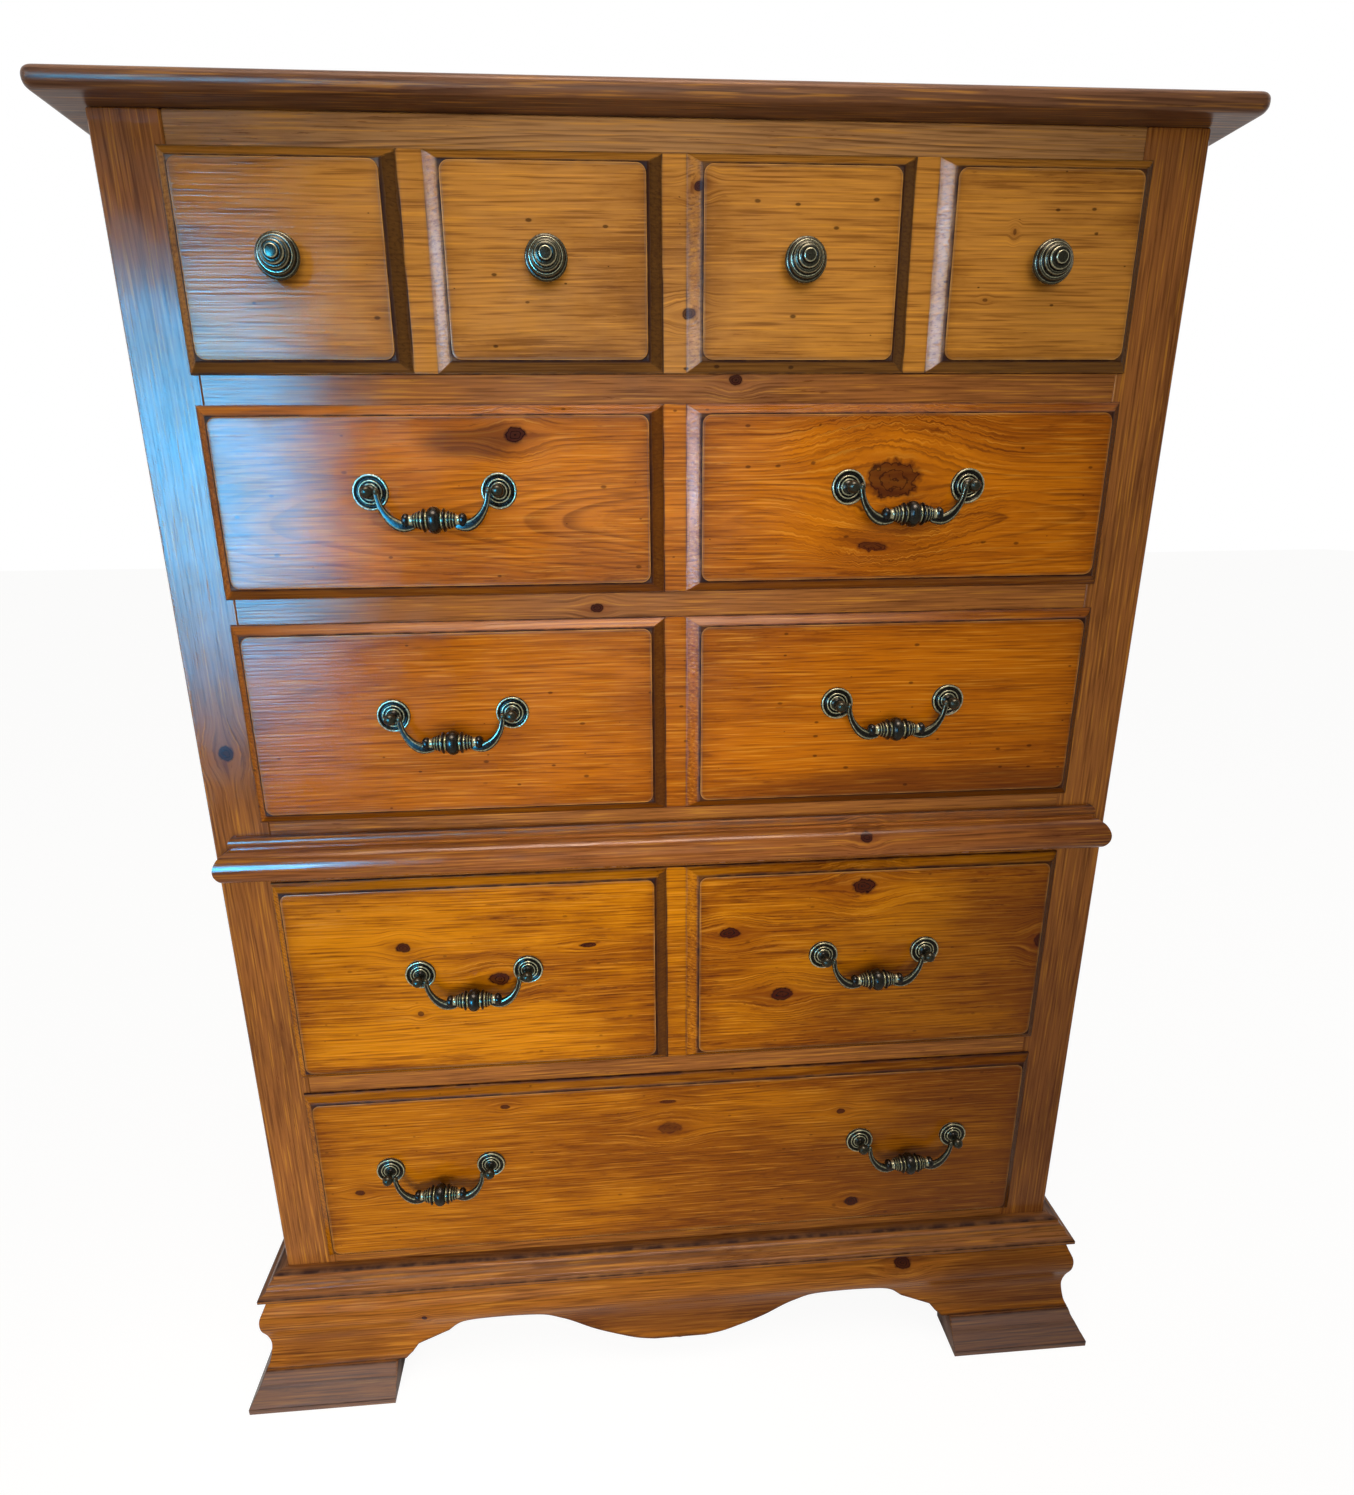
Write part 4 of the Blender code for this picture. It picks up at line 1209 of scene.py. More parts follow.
    def run_grid(
        self, along: np.ndarray, edge: np.ndarray
    ) -> tuple[np.ndarray, np.ndarray, dict[str, np.ndarray]]:
        """The section of a bracket at each column: its face, cut off below the lower edge, and its back.

        Row r of column c is at height max(row height r, edge height c), and its stand is the profile's
        there. Two rows at the flat back close each column to a loop.

        Args:
            along: the columns' places.
            edge: (place, height) of the lower edge.

        Returns:
            Stand and height as (rows, columns), and the marks as (columns, rows).
        """
        profile = self.profile()
        cut = np.interp(along, edge[:, 0], edge[:, 1])[None, :]
        level = np.maximum(profile[:, 1:], cut)
        stand = np.interp(level, profile[:, 1], profile[:, 0])
        # Glaze with painted shade in the grooves of the profile and just above the lower edge
        glaze = groove_glaze_and_shade(profile, reach=0.002, gain=2.5)
        glaze = np.interp(level, profile[:, 1], glaze)
        at_edge = np.clip(1.0 - (level - cut) / self.edge_glaze_and_shade_rise, 0.0, 1.0) * (cut > ON_FLOOR)
        glaze = np.maximum(glaze, self.edge_glaze_and_shade * at_edge)
        stand = np.concatenate([stand, np.full((2, stand.shape[1]), -self.backing)])
        level = np.concatenate([level, level[-1:], level[:1]])
        glaze = np.concatenate([glaze, glaze[-1:], np.ones_like(glaze[:1])])
        return stand, level, {"glaze": glaze.T, "bevel": self.block_mark(level.T)}

    def columns(self, edge: np.ndarray, start: float, end: float) -> np.ndarray:
        """Columns at each corner of the lower edge, with even ones between and more where it's steep.

        Args:
            edge: (place, height) of the lower edge.
            start: where the columns begin.
            end: where they end.

        Returns:
            Their places, in order.
        """
        inside = edge[(edge[:, 0] > start) & (edge[:, 0] < end), 0]
        even = np.linspace(start, end, self.even_columns + 1)
        steep = [
            np.linspace(near, far, self.steep_columns + 1)
            for near, far in zip(inside[:-1], inside[1:])
            if far - near > self.steep_gap
        ]
        return np.unique(np.round(np.concatenate([inside, even, *steep]), 6))

    def front_bracket(self) -> Shell:
        """The front bracket: the section carried along the front, mitred at both corners.

        Returns:
            The closed bracket.
        """
        right = np.concatenate([self.front_outline(), [(CASE_HALF, 0.0)]])
        edge = np.concatenate([right[::-1] * (-1.0, 1.0), right[1:]])
        margin = self.backing + self.end_margin
        along = self.columns(edge, -CASE_HALF + margin, CASE_HALF - margin)
        along = np.concatenate([[-CASE_HALF], along, [CASE_HALF]])
        stand, level, marks = self.run_grid(along, edge)
        x = np.broadcast_to(along, stand.shape).copy()
        x[:, 0] = -(CASE_HALF + stand[:, 0] - GAP)
        x[:, -1] = CASE_HALF + stand[:, -1] - GAP
        grid = np.stack([x, CASE_FRONT - stand, level], axis=-1).transpose(1, 0, 2)
        return woven(grid, marks, around=True, caps=True)

    def right_bracket(self, rear: float) -> Shell:
        """The right side bracket: the section carried back, mitred at the front and square at the rear.

        Args:
            rear: its rear end.

        Returns:
            The closed bracket.
        """
        edge = np.concatenate([[(CASE_FRONT, 0.0)], self.side_outline(rear), [(rear, 0.0)]])
        along = self.columns(edge, CASE_FRONT + self.backing + self.end_margin, rear)
        along = np.concatenate([[CASE_FRONT], along])
        stand, level, marks = self.run_grid(along, edge)
        y = np.broadcast_to(along, stand.shape).copy()
        y[:, 0] = CASE_FRONT - stand[:, 0] + GAP
        grid = np.stack([CASE_HALF + stand, y, level], axis=-1).transpose(1, 0, 2)
        return woven(grid, marks, around=True, caps=True)

    def build(self) -> None:
        """Puts the front bracket and both side brackets under the case."""
        right = self.right_bracket(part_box("bracket_right")[1].y)
        brackets = {
            "front": (self.front_bracket(), self.finish),
            "left": (right.mirrored(), self.side_finish),
            "right": (right, self.side_finish),
        }
        for side, (shell, finish) in brackets.items():
            placed("apron_" + side, shell, finish, "case", "bracket_" + side)


# Drawers


@dataclass
class PanelledFront:
    """A drawer front: a lipped board with raised fields, bevels round them and plain strips between."""

    finish: Material
    row: int
    strips: tuple[float, ...]
    strip_width: float = 0.0184
    outer_bevel: float = 0.0085
    strip_bevel: float = 0.0125
    ledge: float = 0.0006
    lip_stand: float = 0.0030
    field_stand: float = 0.0100
    field_step: float = 0.0010
    field_corner: float = 0.0080
    field_tightest: float = 0.001
    edge_width: float = 0.024
    tongue_inset: float = 0.0080
    tongue_depth: float = 0.0092
    side_steps: int = 8
    corner_steps: int = 7
    strip_arrises: Point = (0.0, 0.0006, 0.0020)
    # Glaze with painted shade at the strips' arrises, by the foot of the bevels
    strip_glaze_and_shade: Point = (0.35, 0.12, 0.0)
    # Painted shade on the bevels by side, lower, right, upper and left: darkest where they face away
    # from the light at the left
    bevel_shade: tuple[float, float, float, float] = (0.66, 0.86, 0.22, 0.05)
    # Glaze with painted shade up each bevel: dark at its foot by the lip and towards the quirk
    bevel_glaze_and_shade: Pairs = (
        (0.0, 0.85), (0.07, 0.30), (0.3, 0.0), (0.6, 0.0), (0.80, 0.20), (0.90, 0.8), (1.0, 1.0),
    )

    def spans(self, low_x: float, high_x: float) -> list[tuple[float, float, float, float]]:
        """The raised fields between the strips.

        Args:
            low_x: the left edge of the front.
            high_x: its right edge.

        Returns:
            (left edge, right edge, left bevel, right bevel) of each field.
        """
        edges = [(low_x, self.outer_bevel)]
        for centre in self.strips:
            edges.append((centre - self.strip_width / 2, self.strip_bevel))
            edges.append((centre + self.strip_width / 2, self.strip_bevel))
        edges.append((high_x, self.outer_bevel))
        return [(a[0], b[0], a[1], b[1]) for a, b in zip(edges[0::2], edges[1::2])]

    def by_side(self, values: Sequence[float]) -> np.ndarray:
        """A value per point of a rounded loop, from those of its lower, right, upper and left sides.

        Args:
            values: the sides' values, which blend into each other round the corners.

        Returns:
            A value per point.
        """
        parts = []
        for number in range(4):
            parts.append(np.linspace(values[number - 1], values[number], self.corner_steps + 1))
            parts.append(np.full(self.side_steps + 1, values[number]))
        return np.concatenate(parts)

    def field_rings(self) -> list[tuple[float, float, float, float, float, float, float]]:
        """The loops of a field: up its bevels, round the quirk and over the rounded arris to the flat.

        Returns:
            (share of the bevels, inset, stand, corner radius, glaze with painted shade, wear with a
            painted highlight, and bevel, which takes the bevels' painted shade) of each loop.
        """
        top_of_bevel = self.field_stand - self.field_step
        climb = top_of_bevel - self.lip_stand
        slope = [
            (share, 0.0, self.lip_stand + share * climb, 0.0, dark, 0.0, 1.0)
            for share, dark in self.bevel_glaze_and_shade
        ]
        # Inset, stand, glaze with painted shade in the quirk, and wear with a painted highlight on the
        # arris
        flat = (
            (0.00015, top_of_bevel - 0.0003, 1.0, 0.0),
            (0.00035, top_of_bevel - 0.0002, 1.0, 0.0),
            (0.00050, top_of_bevel + 0.0004, 0.9, 0.0),
            (0.00065, self.field_stand - 0.00015, 0.4, 1.0),
            (0.00100, self.field_stand - 0.00003, 0.15, 1.0),
            (0.00150, self.field_stand, 0.45, 0.2),
            (0.00300, self.field_stand, 0.10, 0.0),
            (0.00700, self.field_stand, 0.0, 0.0),
            (0.01300, self.field_stand, 0.0, 0.0),
            (self.edge_width, self.field_stand, 0.0, 0.0),
        )
        return slope + [
            (1.0, inward, stand, max(self.field_corner - inward, self.field_tightest), dark, rubbed, 0.0)
            for inward, stand, dark, rubbed in flat
        ]

    def field(self, span: Sequence[float], low_z: float, high_z: float) -> Shell:
        """One raised field: loops from the foot of its bevels in to its flat.

        Loop k is the rectangle moved in by a share of each side's bevel and by an inset, at the stand of
        that share; from the quirk on its corners are round.

        Args:
            span: the left and right edges of the bevels and the widths of these two.
            low_z: the lower edge of the bevels.
            high_z: their upper edge.

        Returns:
            The surface, open at its foot.
        """
        left, right, *bevels = span
        widths = np.array([bevels[0], self.outer_bevel, bevels[1]]) - self.ledge
        rings = self.field_rings()
        loops = []
        for share, inward, stand, radius, *_ in rings:
            inset = share * widths + inward
            corners = ((left + inset[0], low_z + inset[1]), (right - inset[2], high_z - inset[1]))
            loop = rounded_loop(*corners, radius, self.corner_steps, self.side_steps)
            loops.append(upright(loop, stand))
        _, inward, _, _, glaze, wear, bevel = (column[:, None] for column in np.array(rings).T)
        marks = {
            "glaze": glaze,
            "wear": wear,
            "edge": np.where(inward > 0.0, 1.0 - inward / self.edge_width, 0.0),
            # The bevel mark: painted shade, strongest on the right and lower bevels
            "bevel": bevel * self.by_side(self.bevel_shade),
        }
        return woven(np.array(loops), marks, around=True, lid=True)

    def strip(self, left: float, right: float, levels: np.ndarray) -> Shell:
        """The plain strip between two fields, level with the lip.

        Args:
            left: its left edge.
            right: its right edge.
            levels: the heights of its rows.

        Returns:
            The surface, open at its four edges.
        """
        inset = np.array(self.strip_arrises)
        x = np.concatenate([left + inset, right - inset[::-1]])
        grid = np.zeros((len(levels), len(x), 3))
        grid[..., 0], grid[..., 1], grid[..., 2] = x, CASE_FRONT - self.lip_stand, levels[:, None]
        return woven(grid, {"glaze": np.array([*self.strip_glaze_and_shade, *self.strip_glaze_and_shade[::-1]])})

    def lip(self, xs: np.ndarray, zs: np.ndarray) -> Shell:
        """The rounded lip, the back of the front and the tongue that fills the opening.

        The rectangle of all edge points is moved out or in by each ring's inset and stands at its stand.

        Args:
            xs: the places of the points along the lower and upper edges.
            zs: their places along the left and right edges.

        Returns:
            The surface, open where the fields and the strips meet it.
        """
        loop = np.concatenate([
            np.stack([xs[:-1], np.full(len(xs) - 1, zs[0])], axis=-1),
            np.stack([np.full(len(zs) - 1, xs[-1]), zs[:-1]], axis=-1),
            np.stack([xs[:0:-1], np.full(len(xs) - 1, zs[-1])], axis=-1),
            np.stack([np.full(len(zs) - 1, xs[0]), zs[:0:-1]], axis=-1),
        ])
        low, high = (xs[0], zs[0]), (xs[-1], zs[-1])
        out = (loop >= high).astype(float) - (loop <= low)
        # How far out, stand, and glaze with painted shade, dark on the outer rings for the lip's shadow
        # on the case
        rings = (
            (0.0, self.lip_stand, 0.6),
            (0.00022, self.lip_stand - 0.00004, 0.7),
            (0.00044, self.lip_stand - 0.00020, 0.9),
            (self.ledge, self.lip_stand - 0.0006, 1.0),
            (self.ledge, GAP, 1.0),
            (self.ledge - self.tongue_inset, GAP, 1.0),
            (self.ledge - self.tongue_inset, -self.tongue_depth, 0.3),
        )
        grid = np.array([upright(loop + outward * out, stand) for outward, stand, _ in rings])
        glaze = np.array([dark for _, _, dark in rings])[:, None]
        return woven(grid, {"glaze": glaze}, around=True, lid=True)

    def build(self) -> None:
        """Puts the fields, the strips and the lip together as one closed surface."""
        node = f"drawer_{self.row}_front"
        low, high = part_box(node)
        low_x, high_x = low.x + self.ledge, high.x - self.ledge
        low_z, high_z = low.z + self.ledge, high.z - self.ledge
        shares = side_shares(self.side_steps)
        levels = low_z + shares * (high_z - low_z)
        spans = self.spans(low_x, high_x)
        shells = [self.field(span, low_z, high_z) for span in spans]
        xs = [left + shares * (right - left) for left, right, _, _ in spans]
        for (_, left, _, _), (right, _, _, _) in zip(spans[:-1], spans[1:]):
            strip = self.strip(left, right, levels)
            shells.append(strip)
            xs.append(np.unique(strip.points[:, 0]))
        shells.append(self.lip(np.unique(np.round(np.concatenate(xs), 7)), levels))
        name, body = f"panelled_front_{self.row}", f"drawer_{self.row}"
        placed(name, joined(shells), self.finish, body, node, crease=22.0)


@dataclass
class TurnedKnob:
    """A brass knob of stacked rings that narrow to a button, on a waisted neck."""

    finish: Material
    radius: float = 0.016
    length: float = 0.0272
    steps: int = 56
    shares: Pairs = (
        (0.000, 1.000), (0.150, 0.997), (0.275, 0.985), (0.300, 0.955), (0.330, 0.925), (0.375, 0.930),
        (0.480, 0.905), (0.515, 0.870), (0.520, 0.825), (0.575, 0.825), (0.660, 0.795), (0.690, 0.755),
        (0.700, 0.700), (0.760, 0.700), (0.835, 0.665), (0.865, 0.625), (0.880, 0.580), (0.930, 0.570),
        (0.985, 0.530), (1.000, 0.480), (0.975, 0.435), (0.850, 0.405), (0.600, 0.370), (0.438, 0.320),
        (0.390, 0.240), (0.400, 0.170), (0.460, 0.110), (0.570, 0.070), (0.575, 0.000), (0.000, 0.000),
    )
    per_span: int = 3
    crisp: tuple[int, ...] = (4, 8, 13, 17, 27, 28)
    groove_reach: float = 0.0009

    def build(self, number: int) -> None:
        """Sets a knob in the place of its solid.

        Args:
            number: which knob, from the left.
        """
        node = f"drawer_1_knob_{number}"
        profile = np.array(self.shares) * (self.radius, self.length)
        profile = flowing(profile, self.per_span, self.crisp)
        grooves = hollows(profile, self.groove_reach)
        marks = brass_marks(grooves, hollow_gain=4.0, ridge_gain=4.0, spared=0.4)
        shell = turned(profile, self.steps, marks).moved(seat(node))
        placed(f"turned_knob_{number}", shell, self.finish, "drawer_1", node, crease=55.0)


@dataclass
class BailPull:
    """A cast bail that hangs between two ringed rosettes."""

    finish: Material
    pivot_stand: float = 0.014
    rosette: float = 0.0143
    relief: float = 0.0032
    head: float = 0.0052
    drop: float = 0.022
    head_turn: float = 0.80 * math.pi
    head_steps: int = 14
    post_groove: float = 0.0008
    grip_groove: float = 0.0011
    flute_depth: float = 0.22
    flute_power: int = 6
    flute_dark: float = 0.6
    flute_dark_power: int = 10
    flute_rim: Point = (0.55, 0.2, 0.7)
    post_steps: int = 48
    grip_steps: int = 40
    arm_steps: int = 20
    boss_steps: int = 24
    per_span: int = 3
    arm_per_span: int = 5
    post_crisp: tuple[int, ...] = (4, 20)
    grip_crisp: tuple[int, ...] = (4, 10, 15, 19)
    crease: float = 60.0
    neck_shares: Pairs = ((0.62, 2.35), (0.60, 1.80), (0.70, 1.30), (0.95, 1.02))
    ring_shares: Pairs = (
        (0.385, 0.80), (0.405, 0.98), (0.445, 1.00), (0.480, 0.80), (0.500, 0.52), (0.540, 0.50),
        (0.575, 0.70), (0.615, 0.86), (0.655, 0.78), (0.690, 0.45), (0.740, 0.34), (0.800, 0.42),
        (0.860, 0.72), (0.910, 0.86), (0.960, 0.80), (0.993, 0.52), (1.000, 0.20), (1.000, 0.00),
    )
    grip_mm: Pairs = (
        (0.0, 10.6), (2.2, 10.2), (4.2, 8.8), (5.4, 7.0), (5.9, 6.2), (6.4, 6.4), (6.9, 8.2),
        (7.6, 9.2), (8.4, 9.1), (9.1, 7.8), (9.6, 6.0), (10.2, 5.9), (10.8, 7.0), (11.5, 7.3),
        (12.2, 6.7), (12.7, 5.5), (13.2, 6.0), (13.8, 6.5), (14.4, 6.0), (15.0, 5.0), (15.6, 5.5),
        (16.3, 5.4), (17.0, 4.4), (18.4, 3.9), (19.4, 4.1), (20.4, 4.9), (21.6, 5.4), (22.9, 5.4),
        (24.4, 4.6), (25.4, 3.0), (25.9, 0.0),
    )
    arm_mm: tuple[tuple[float, float, float, float], ...] = (
        (15.5, -26.0, 1.0, 1.2), (17.0, -26.6, 2.4, 2.2), (20.5, -27.0, 3.4, 2.8),
        (25.0, -26.7, 4.3, 3.2), (29.5, -25.0, 4.5, 3.2), (34.0, -21.8, 3.9, 3.0),
        (38.0, -17.0, 3.1, 2.7), (41.0, -11.6, 2.6, 2.5), (42.6, -6.4, 2.4, 2.4),
        (43.3, -2.4, 2.4, 2.6), (43.5, 0.8, 2.2, 2.4), (43.5, 2.8, 0.6, 0.8),
    )
    boss_mm: Pairs = (
        (41.4, 0.0), (41.6, 1.8), (42.2, 2.8), (43.4, 3.1), (44.6, 2.9), (45.2, 2.0), (45.6, 1.4),
        (49.6, 1.4), (49.8, 0.0),
    )

    def post(self) -> Shell:
        """A rosette with its post, turned from the tip of the round head down to the rosette's rim.

        The head is a ball, at angle a (head sin a, pivot stand + head cos a), and the rings are smooth.

        Returns:
            The closed casting about the middle of its foot.
        """
        angle = np.linspace(0.0, self.head_turn, self.head_steps + 1)
        radius, stand = self.head * np.sin(angle), self.pivot_stand + self.head * np.cos(angle)
        ball = np.stack([radius, stand], axis=-1)
        neck = np.array(self.neck_shares) * (self.head, self.relief)
        rings = np.array(self.ring_shares) * (self.rosette, self.relief)
        lower = flowing(np.concatenate([neck, rings]), self.per_span, self.post_crisp)
        profile = np.concatenate([ball, lower, [(0.0, 0.0)]])
        grooves = hollows(profile, self.post_groove)
        marks = brass_marks(grooves, hollow_gain=3.0, ridge_gain=4.0, spared=0.7)
        return turned(profile, self.post_steps, marks)

    def grip(self) -> Shell:
        """The turned grip: a bulb between two flanges, ribs and a bead at each end.

        The profile (place along the grip, radius) is mirrored and turned round the grip's own axis.

        Returns:
            The grip about the pivot's middle.
        """
        line = flowing(np.array(self.grip_mm) * MM, self.per_span, self.grip_crisp)
        profile = np.concatenate([line[:0:-1] * (-1.0, 1.0), line])
        grooves = -hollows(profile[::-1] * (-1.0, 1.0), self.grip_groove)[::-1, None]
        marks = brass_marks(grooves, hollow_gain=3.0, ridge_gain=3.0)
        return turned_across(profile, self.grip_steps, marks, self.drop)

    def arm(self) -> Shell:
        """The right arm: an oval section carried along its curve from the grip up to the pivot.

        The section at a station is the oval of two half widths, one in the plane of the bail and square
        to the curve, the other front to back, with a shallow flute down its front.

        Returns:
            The closed arm about the pivot's middle.
        """
        line = flowing(np.array(self.arm_mm) * MM, self.arm_per_span)
        along, up, half_width, half_depth = (column[:, None] for column in line.T)
        run = np.gradient(line[:, :2], axis=0)
        run /= np.linalg.norm(run, axis=1)[:, None]
        angle = around_axis(self.arm_steps)
        wide, deep = half_width * np.cos(angle), half_depth * np.sin(angle)
        facing = np.maximum(-np.sin(angle), 0.0)
        flute = self.flute_depth * facing**self.flute_power * half_depth
        grid = np.stack([along - wide * run[:, 1:], deep + flute, up + wide * run[:, :1]], axis=-1)
        rim_place, rim_width, rim_rubbed = self.flute_rim
        off_rim = (np.abs(np.cos(angle)) - rim_place) / rim_width
        beside_flute = np.exp(-(off_rim**2)) * (np.sin(angle) < 0)
        marks = {
            "hollow": self.flute_dark * facing**self.flute_dark_power,
            "ridge": rim_rubbed * beside_flute,
        }
        return woven(grid, marks, around=True, caps=True)

    def bail(self, name: str) -> Shell:
        """The grip, both arms and the bosses on the pivots, hung between a pull's two posts.

        Args:
            name: the pull's name.

        Returns:
            The whole bail in its place.
        """
        posts = [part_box(f"{name}_post_{side.value}") for side in Side]
        middle = sum(corner.x for pair in posts for corner in pair) / 4
        height = sum(corner.z for pair in posts for corner in pair) / 4
        boss = turned_across(np.array(self.boss_mm) * MM, self.boss_steps, {"ridge": 0.3})
        arm = self.arm()
        whole = joined([self.grip(), arm, arm.mirrored(), boss, boss.mirrored()])
        return whole.moved((middle, posts[0][1].y - self.pivot_stand, height))

    def build(self, drawer: str, pull_side: Side) -> None:
        """Puts one pull on a drawer: its two posts, and its bail on a body of its own.

        Args:
            drawer: the drawer's body.
            pull_side: which of its pulls.
        """
        name = f"{drawer}_{pull_side.value}"
        for side in Side:
            node, piece = f"{name}_post_{side.value}", f"{name}_rosette_{side.value}"
            post = self.post().moved(seat(node))
            placed(piece, post, self.finish, drawer, node, self.crease)
        node = f"{name}_bail"
        placed(f"{name}_handle", self.bail(name), self.finish, node, node, self.crease)


# What each drawer front is made of: its strips and its board

STRIPS = {1: (-0.195, 0.0, 0.195), 2: (0.0,), 3: (0.0,), 4: (0.0,), 5: ()}
PANELS = {
    1: PineFinish(
        "panel_pine_1", (182, 123, 50), (128, 78, 22), (96, 50, 12), board=(0.9, 0.02, 0.11),
        bevel=(46, 27, 12), contrast=0.4, smoke=0.15, flecks=0.35, specks=0.75,
        knots=(
            Knot(0.0185, 1.1558, 0.0042, 0.0036),
            Knot(0.0112, 1.0703, 0.0055, 0.0042, 0.8),
            Knot(0.2459, 1.0795, 0.0020, 0.0012, 0.6),
            Knot(0.2648, 1.1271, 0.0014, 0.0025, 0.6),
        ),
    ),
    2: PineFinish(
        "panel_pine_2", (192, 110, 8), (142, 73, 8), (98, 46, 8), board=(1.7, 0.01, -0.62),
        pith=(0.020, -0.295), tilt=0.10, contrast=0.6, smoke=0.15, flecks=0.4, shade_to_right=0.2, specks=0.6,
        knots=(
            Knot(-0.1286, 0.9816, 0.0085, 0.0066),
            Knot(0.1815, 0.9445, 0.0235, 0.0165, 0.75),
            Knot(0.1671, 0.9044, 0.0140, 0.0058, 0.75),
        ),
        stains_and_shade=(StainAndShade(-0.165, 0.976, 0.045, 0.013, 0.65), StainAndShade(0.19, 0.925, 0.040, 0.014, 0.4)),
    ),
    3: PineFinish(
        "panel_pine_3", (178, 100, 8), (136, 70, 7), (98, 44, 7), board=(2.6, 0.02, 0.37),
        contrast=0.45, smoke=0.2, flecks=0.4, shade_to_right=0.15, specks=0.6,
        stains_and_shade=(StainAndShade(0.25, 0.672, 0.20, 0.022, 0.6),),
    ),
    4: PineFinish(
        "panel_pine_4", (196, 122, 3), (122, 60, 4), (86, 34, 5), board=(3.3, 0.03, 0.83),
        smoke=0.6, shade_to_right=0.25, specks=0.4,
        # The wide patch on the right is painted shade
        stains_and_shade=(StainAndShade(0.40, 0.46, 0.30, 0.16, 0.42),),
        knots=(
            Knot(-0.2593, 0.5295, 0.0070, 0.0050),
            Knot(-0.1713, 0.4913, 0.0105, 0.0070),
            Knot(-0.0858, 0.5234, 0.0085, 0.0026),
            Knot(-0.2491, 0.4572, 0.0030, 0.0030, 0.7),
            Knot(0.1805, 0.5729, 0.0115, 0.0085),
            Knot(0.0512, 0.5291, 0.0100, 0.0060),
            Knot(0.1045, 0.4584, 0.0115, 0.0075),
            Knot(0.3643, 0.5049, 0.0060, 0.0080, 0.8),
        ),
    ),
    5: PineFinish(
        "panel_pine_5", (170, 102, 5), (118, 60, 5), (84, 36, 5), board=(4.4, 0.01, 0.29),
        smoke=0.5, flecks=0.5, shade_to_right=0.25, specks=0.4,
        # The wide patch on the right is painted shade
        stains_and_shade=(StainAndShade(0.42, 0.26, 0.32, 0.16, 0.4),),
        knots=(
            Knot(-0.0081, 0.3056, 0.0125, 0.0070, 0.6),
            Knot(-0.0100, 0.3380, 0.0080, 0.0030, 0.7),
            Knot(-0.1755, 0.3439, 0.0050, 0.0026, 0.8),
            Knot(-0.3297, 0.2486, 0.0055, 0.0034, 0.8),
            Knot(0.1723, 0.3135, 0.0045, 0.0032, 0.8),
            Knot(0.1901, 0.1940, 0.0080, 0.0060),
        ),
    ),
}

# What the rest of the case is made of

RAIL_STAIN = ((152, 95, 46), (116, 70, 33), (82, 43, 19))
PLINTH_STAIN = ((160, 96, 28), (106, 58, 17), (72, 34, 11))
FOOT_BLOCK = (94, 98, 108)
RAILS = PineFinish(
    "stained_pine_rails", *RAIL_STAIN,
    knots=(Knot(-0.0676, 0.8425, 0.006, 0.004), Knot(0.0498, 1.0230, 0.006, 0.004)),
)
UPRIGHTS = PineFinish(
    "stained_pine_uprights", *RAIL_STAIN, grain=Grain.UP, contrast=0.5,
    stains_and_shade=(StainAndShade(0.33, -0.394, 0.26, 0.06, 0.35),), knots=(Knot(0.7221, 0.3953, 0.0075, 0.0065),),
)
TOP_RAIL = PineFinish(
    "stained_pine_top_rail", (170, 124, 78), (138, 96, 58), (98, 62, 34), contrast=0.7
)
SIDES = PineFinish(
    "stained_pine_sides", *RAIL_STAIN, grain=Grain.UP, board=(0.7, 0.3, 0.2), gloss=0.0
)
WAIST = PineFinish(
    "dark_pine_waist", (152, 90, 40), (112, 62, 26), (76, 36, 14),
    knots=(Knot(0.1775, 0.6271, 0.006, 0.005),), roughness=0.12, gloss=0.32,
)
BASE = PineFinish(
    "stained_pine_base", *PLINTH_STAIN, board=(5.2, 0.02, 0.4), bevel=FOOT_BLOCK, smoke=0.6,
    stains_and_shade=(
        StainAndShade(0.02, 0.070, 0.20, 0.028, 0.5),
        StainAndShade(0.37, 0.080, 0.10, 0.050, 0.5),
        StainAndShade(-0.37, 0.060, 0.06, 0.030, 0.35),
    ),
    knots=(Knot(0.2489, 0.1163, 0.0100, 0.0065), Knot(-0.2746, 0.0939, 0.0030, 0.0030)),
)
BASE_SIDES = PineFinish(
    "stained_pine_base_sides", *PLINTH_STAIN, grain=Grain.BACK, bevel=FOOT_BLOCK
)
COVE = PineFinish(
    "stained_pine_cove", (158, 102, 54), (118, 70, 32), (84, 44, 18), grain=Grain.MITRED, roughness=0.15
)
TOP = PineFinish("stained_pine_top", (124, 84, 58), (98, 62, 40), (70, 40, 24), roughness=0.34)
BARE_WOOD = PineFinish(
    "bare_drawer_wood", (205, 172, 128), (180, 142, 96), (160, 118, 74), roughness=0.6
)
PLYWOOD = PineFinish(
    "plywood_panel", (196, 160, 116), (174, 134, 90), (154, 112, 68), roughness=0.6
)


# The studio


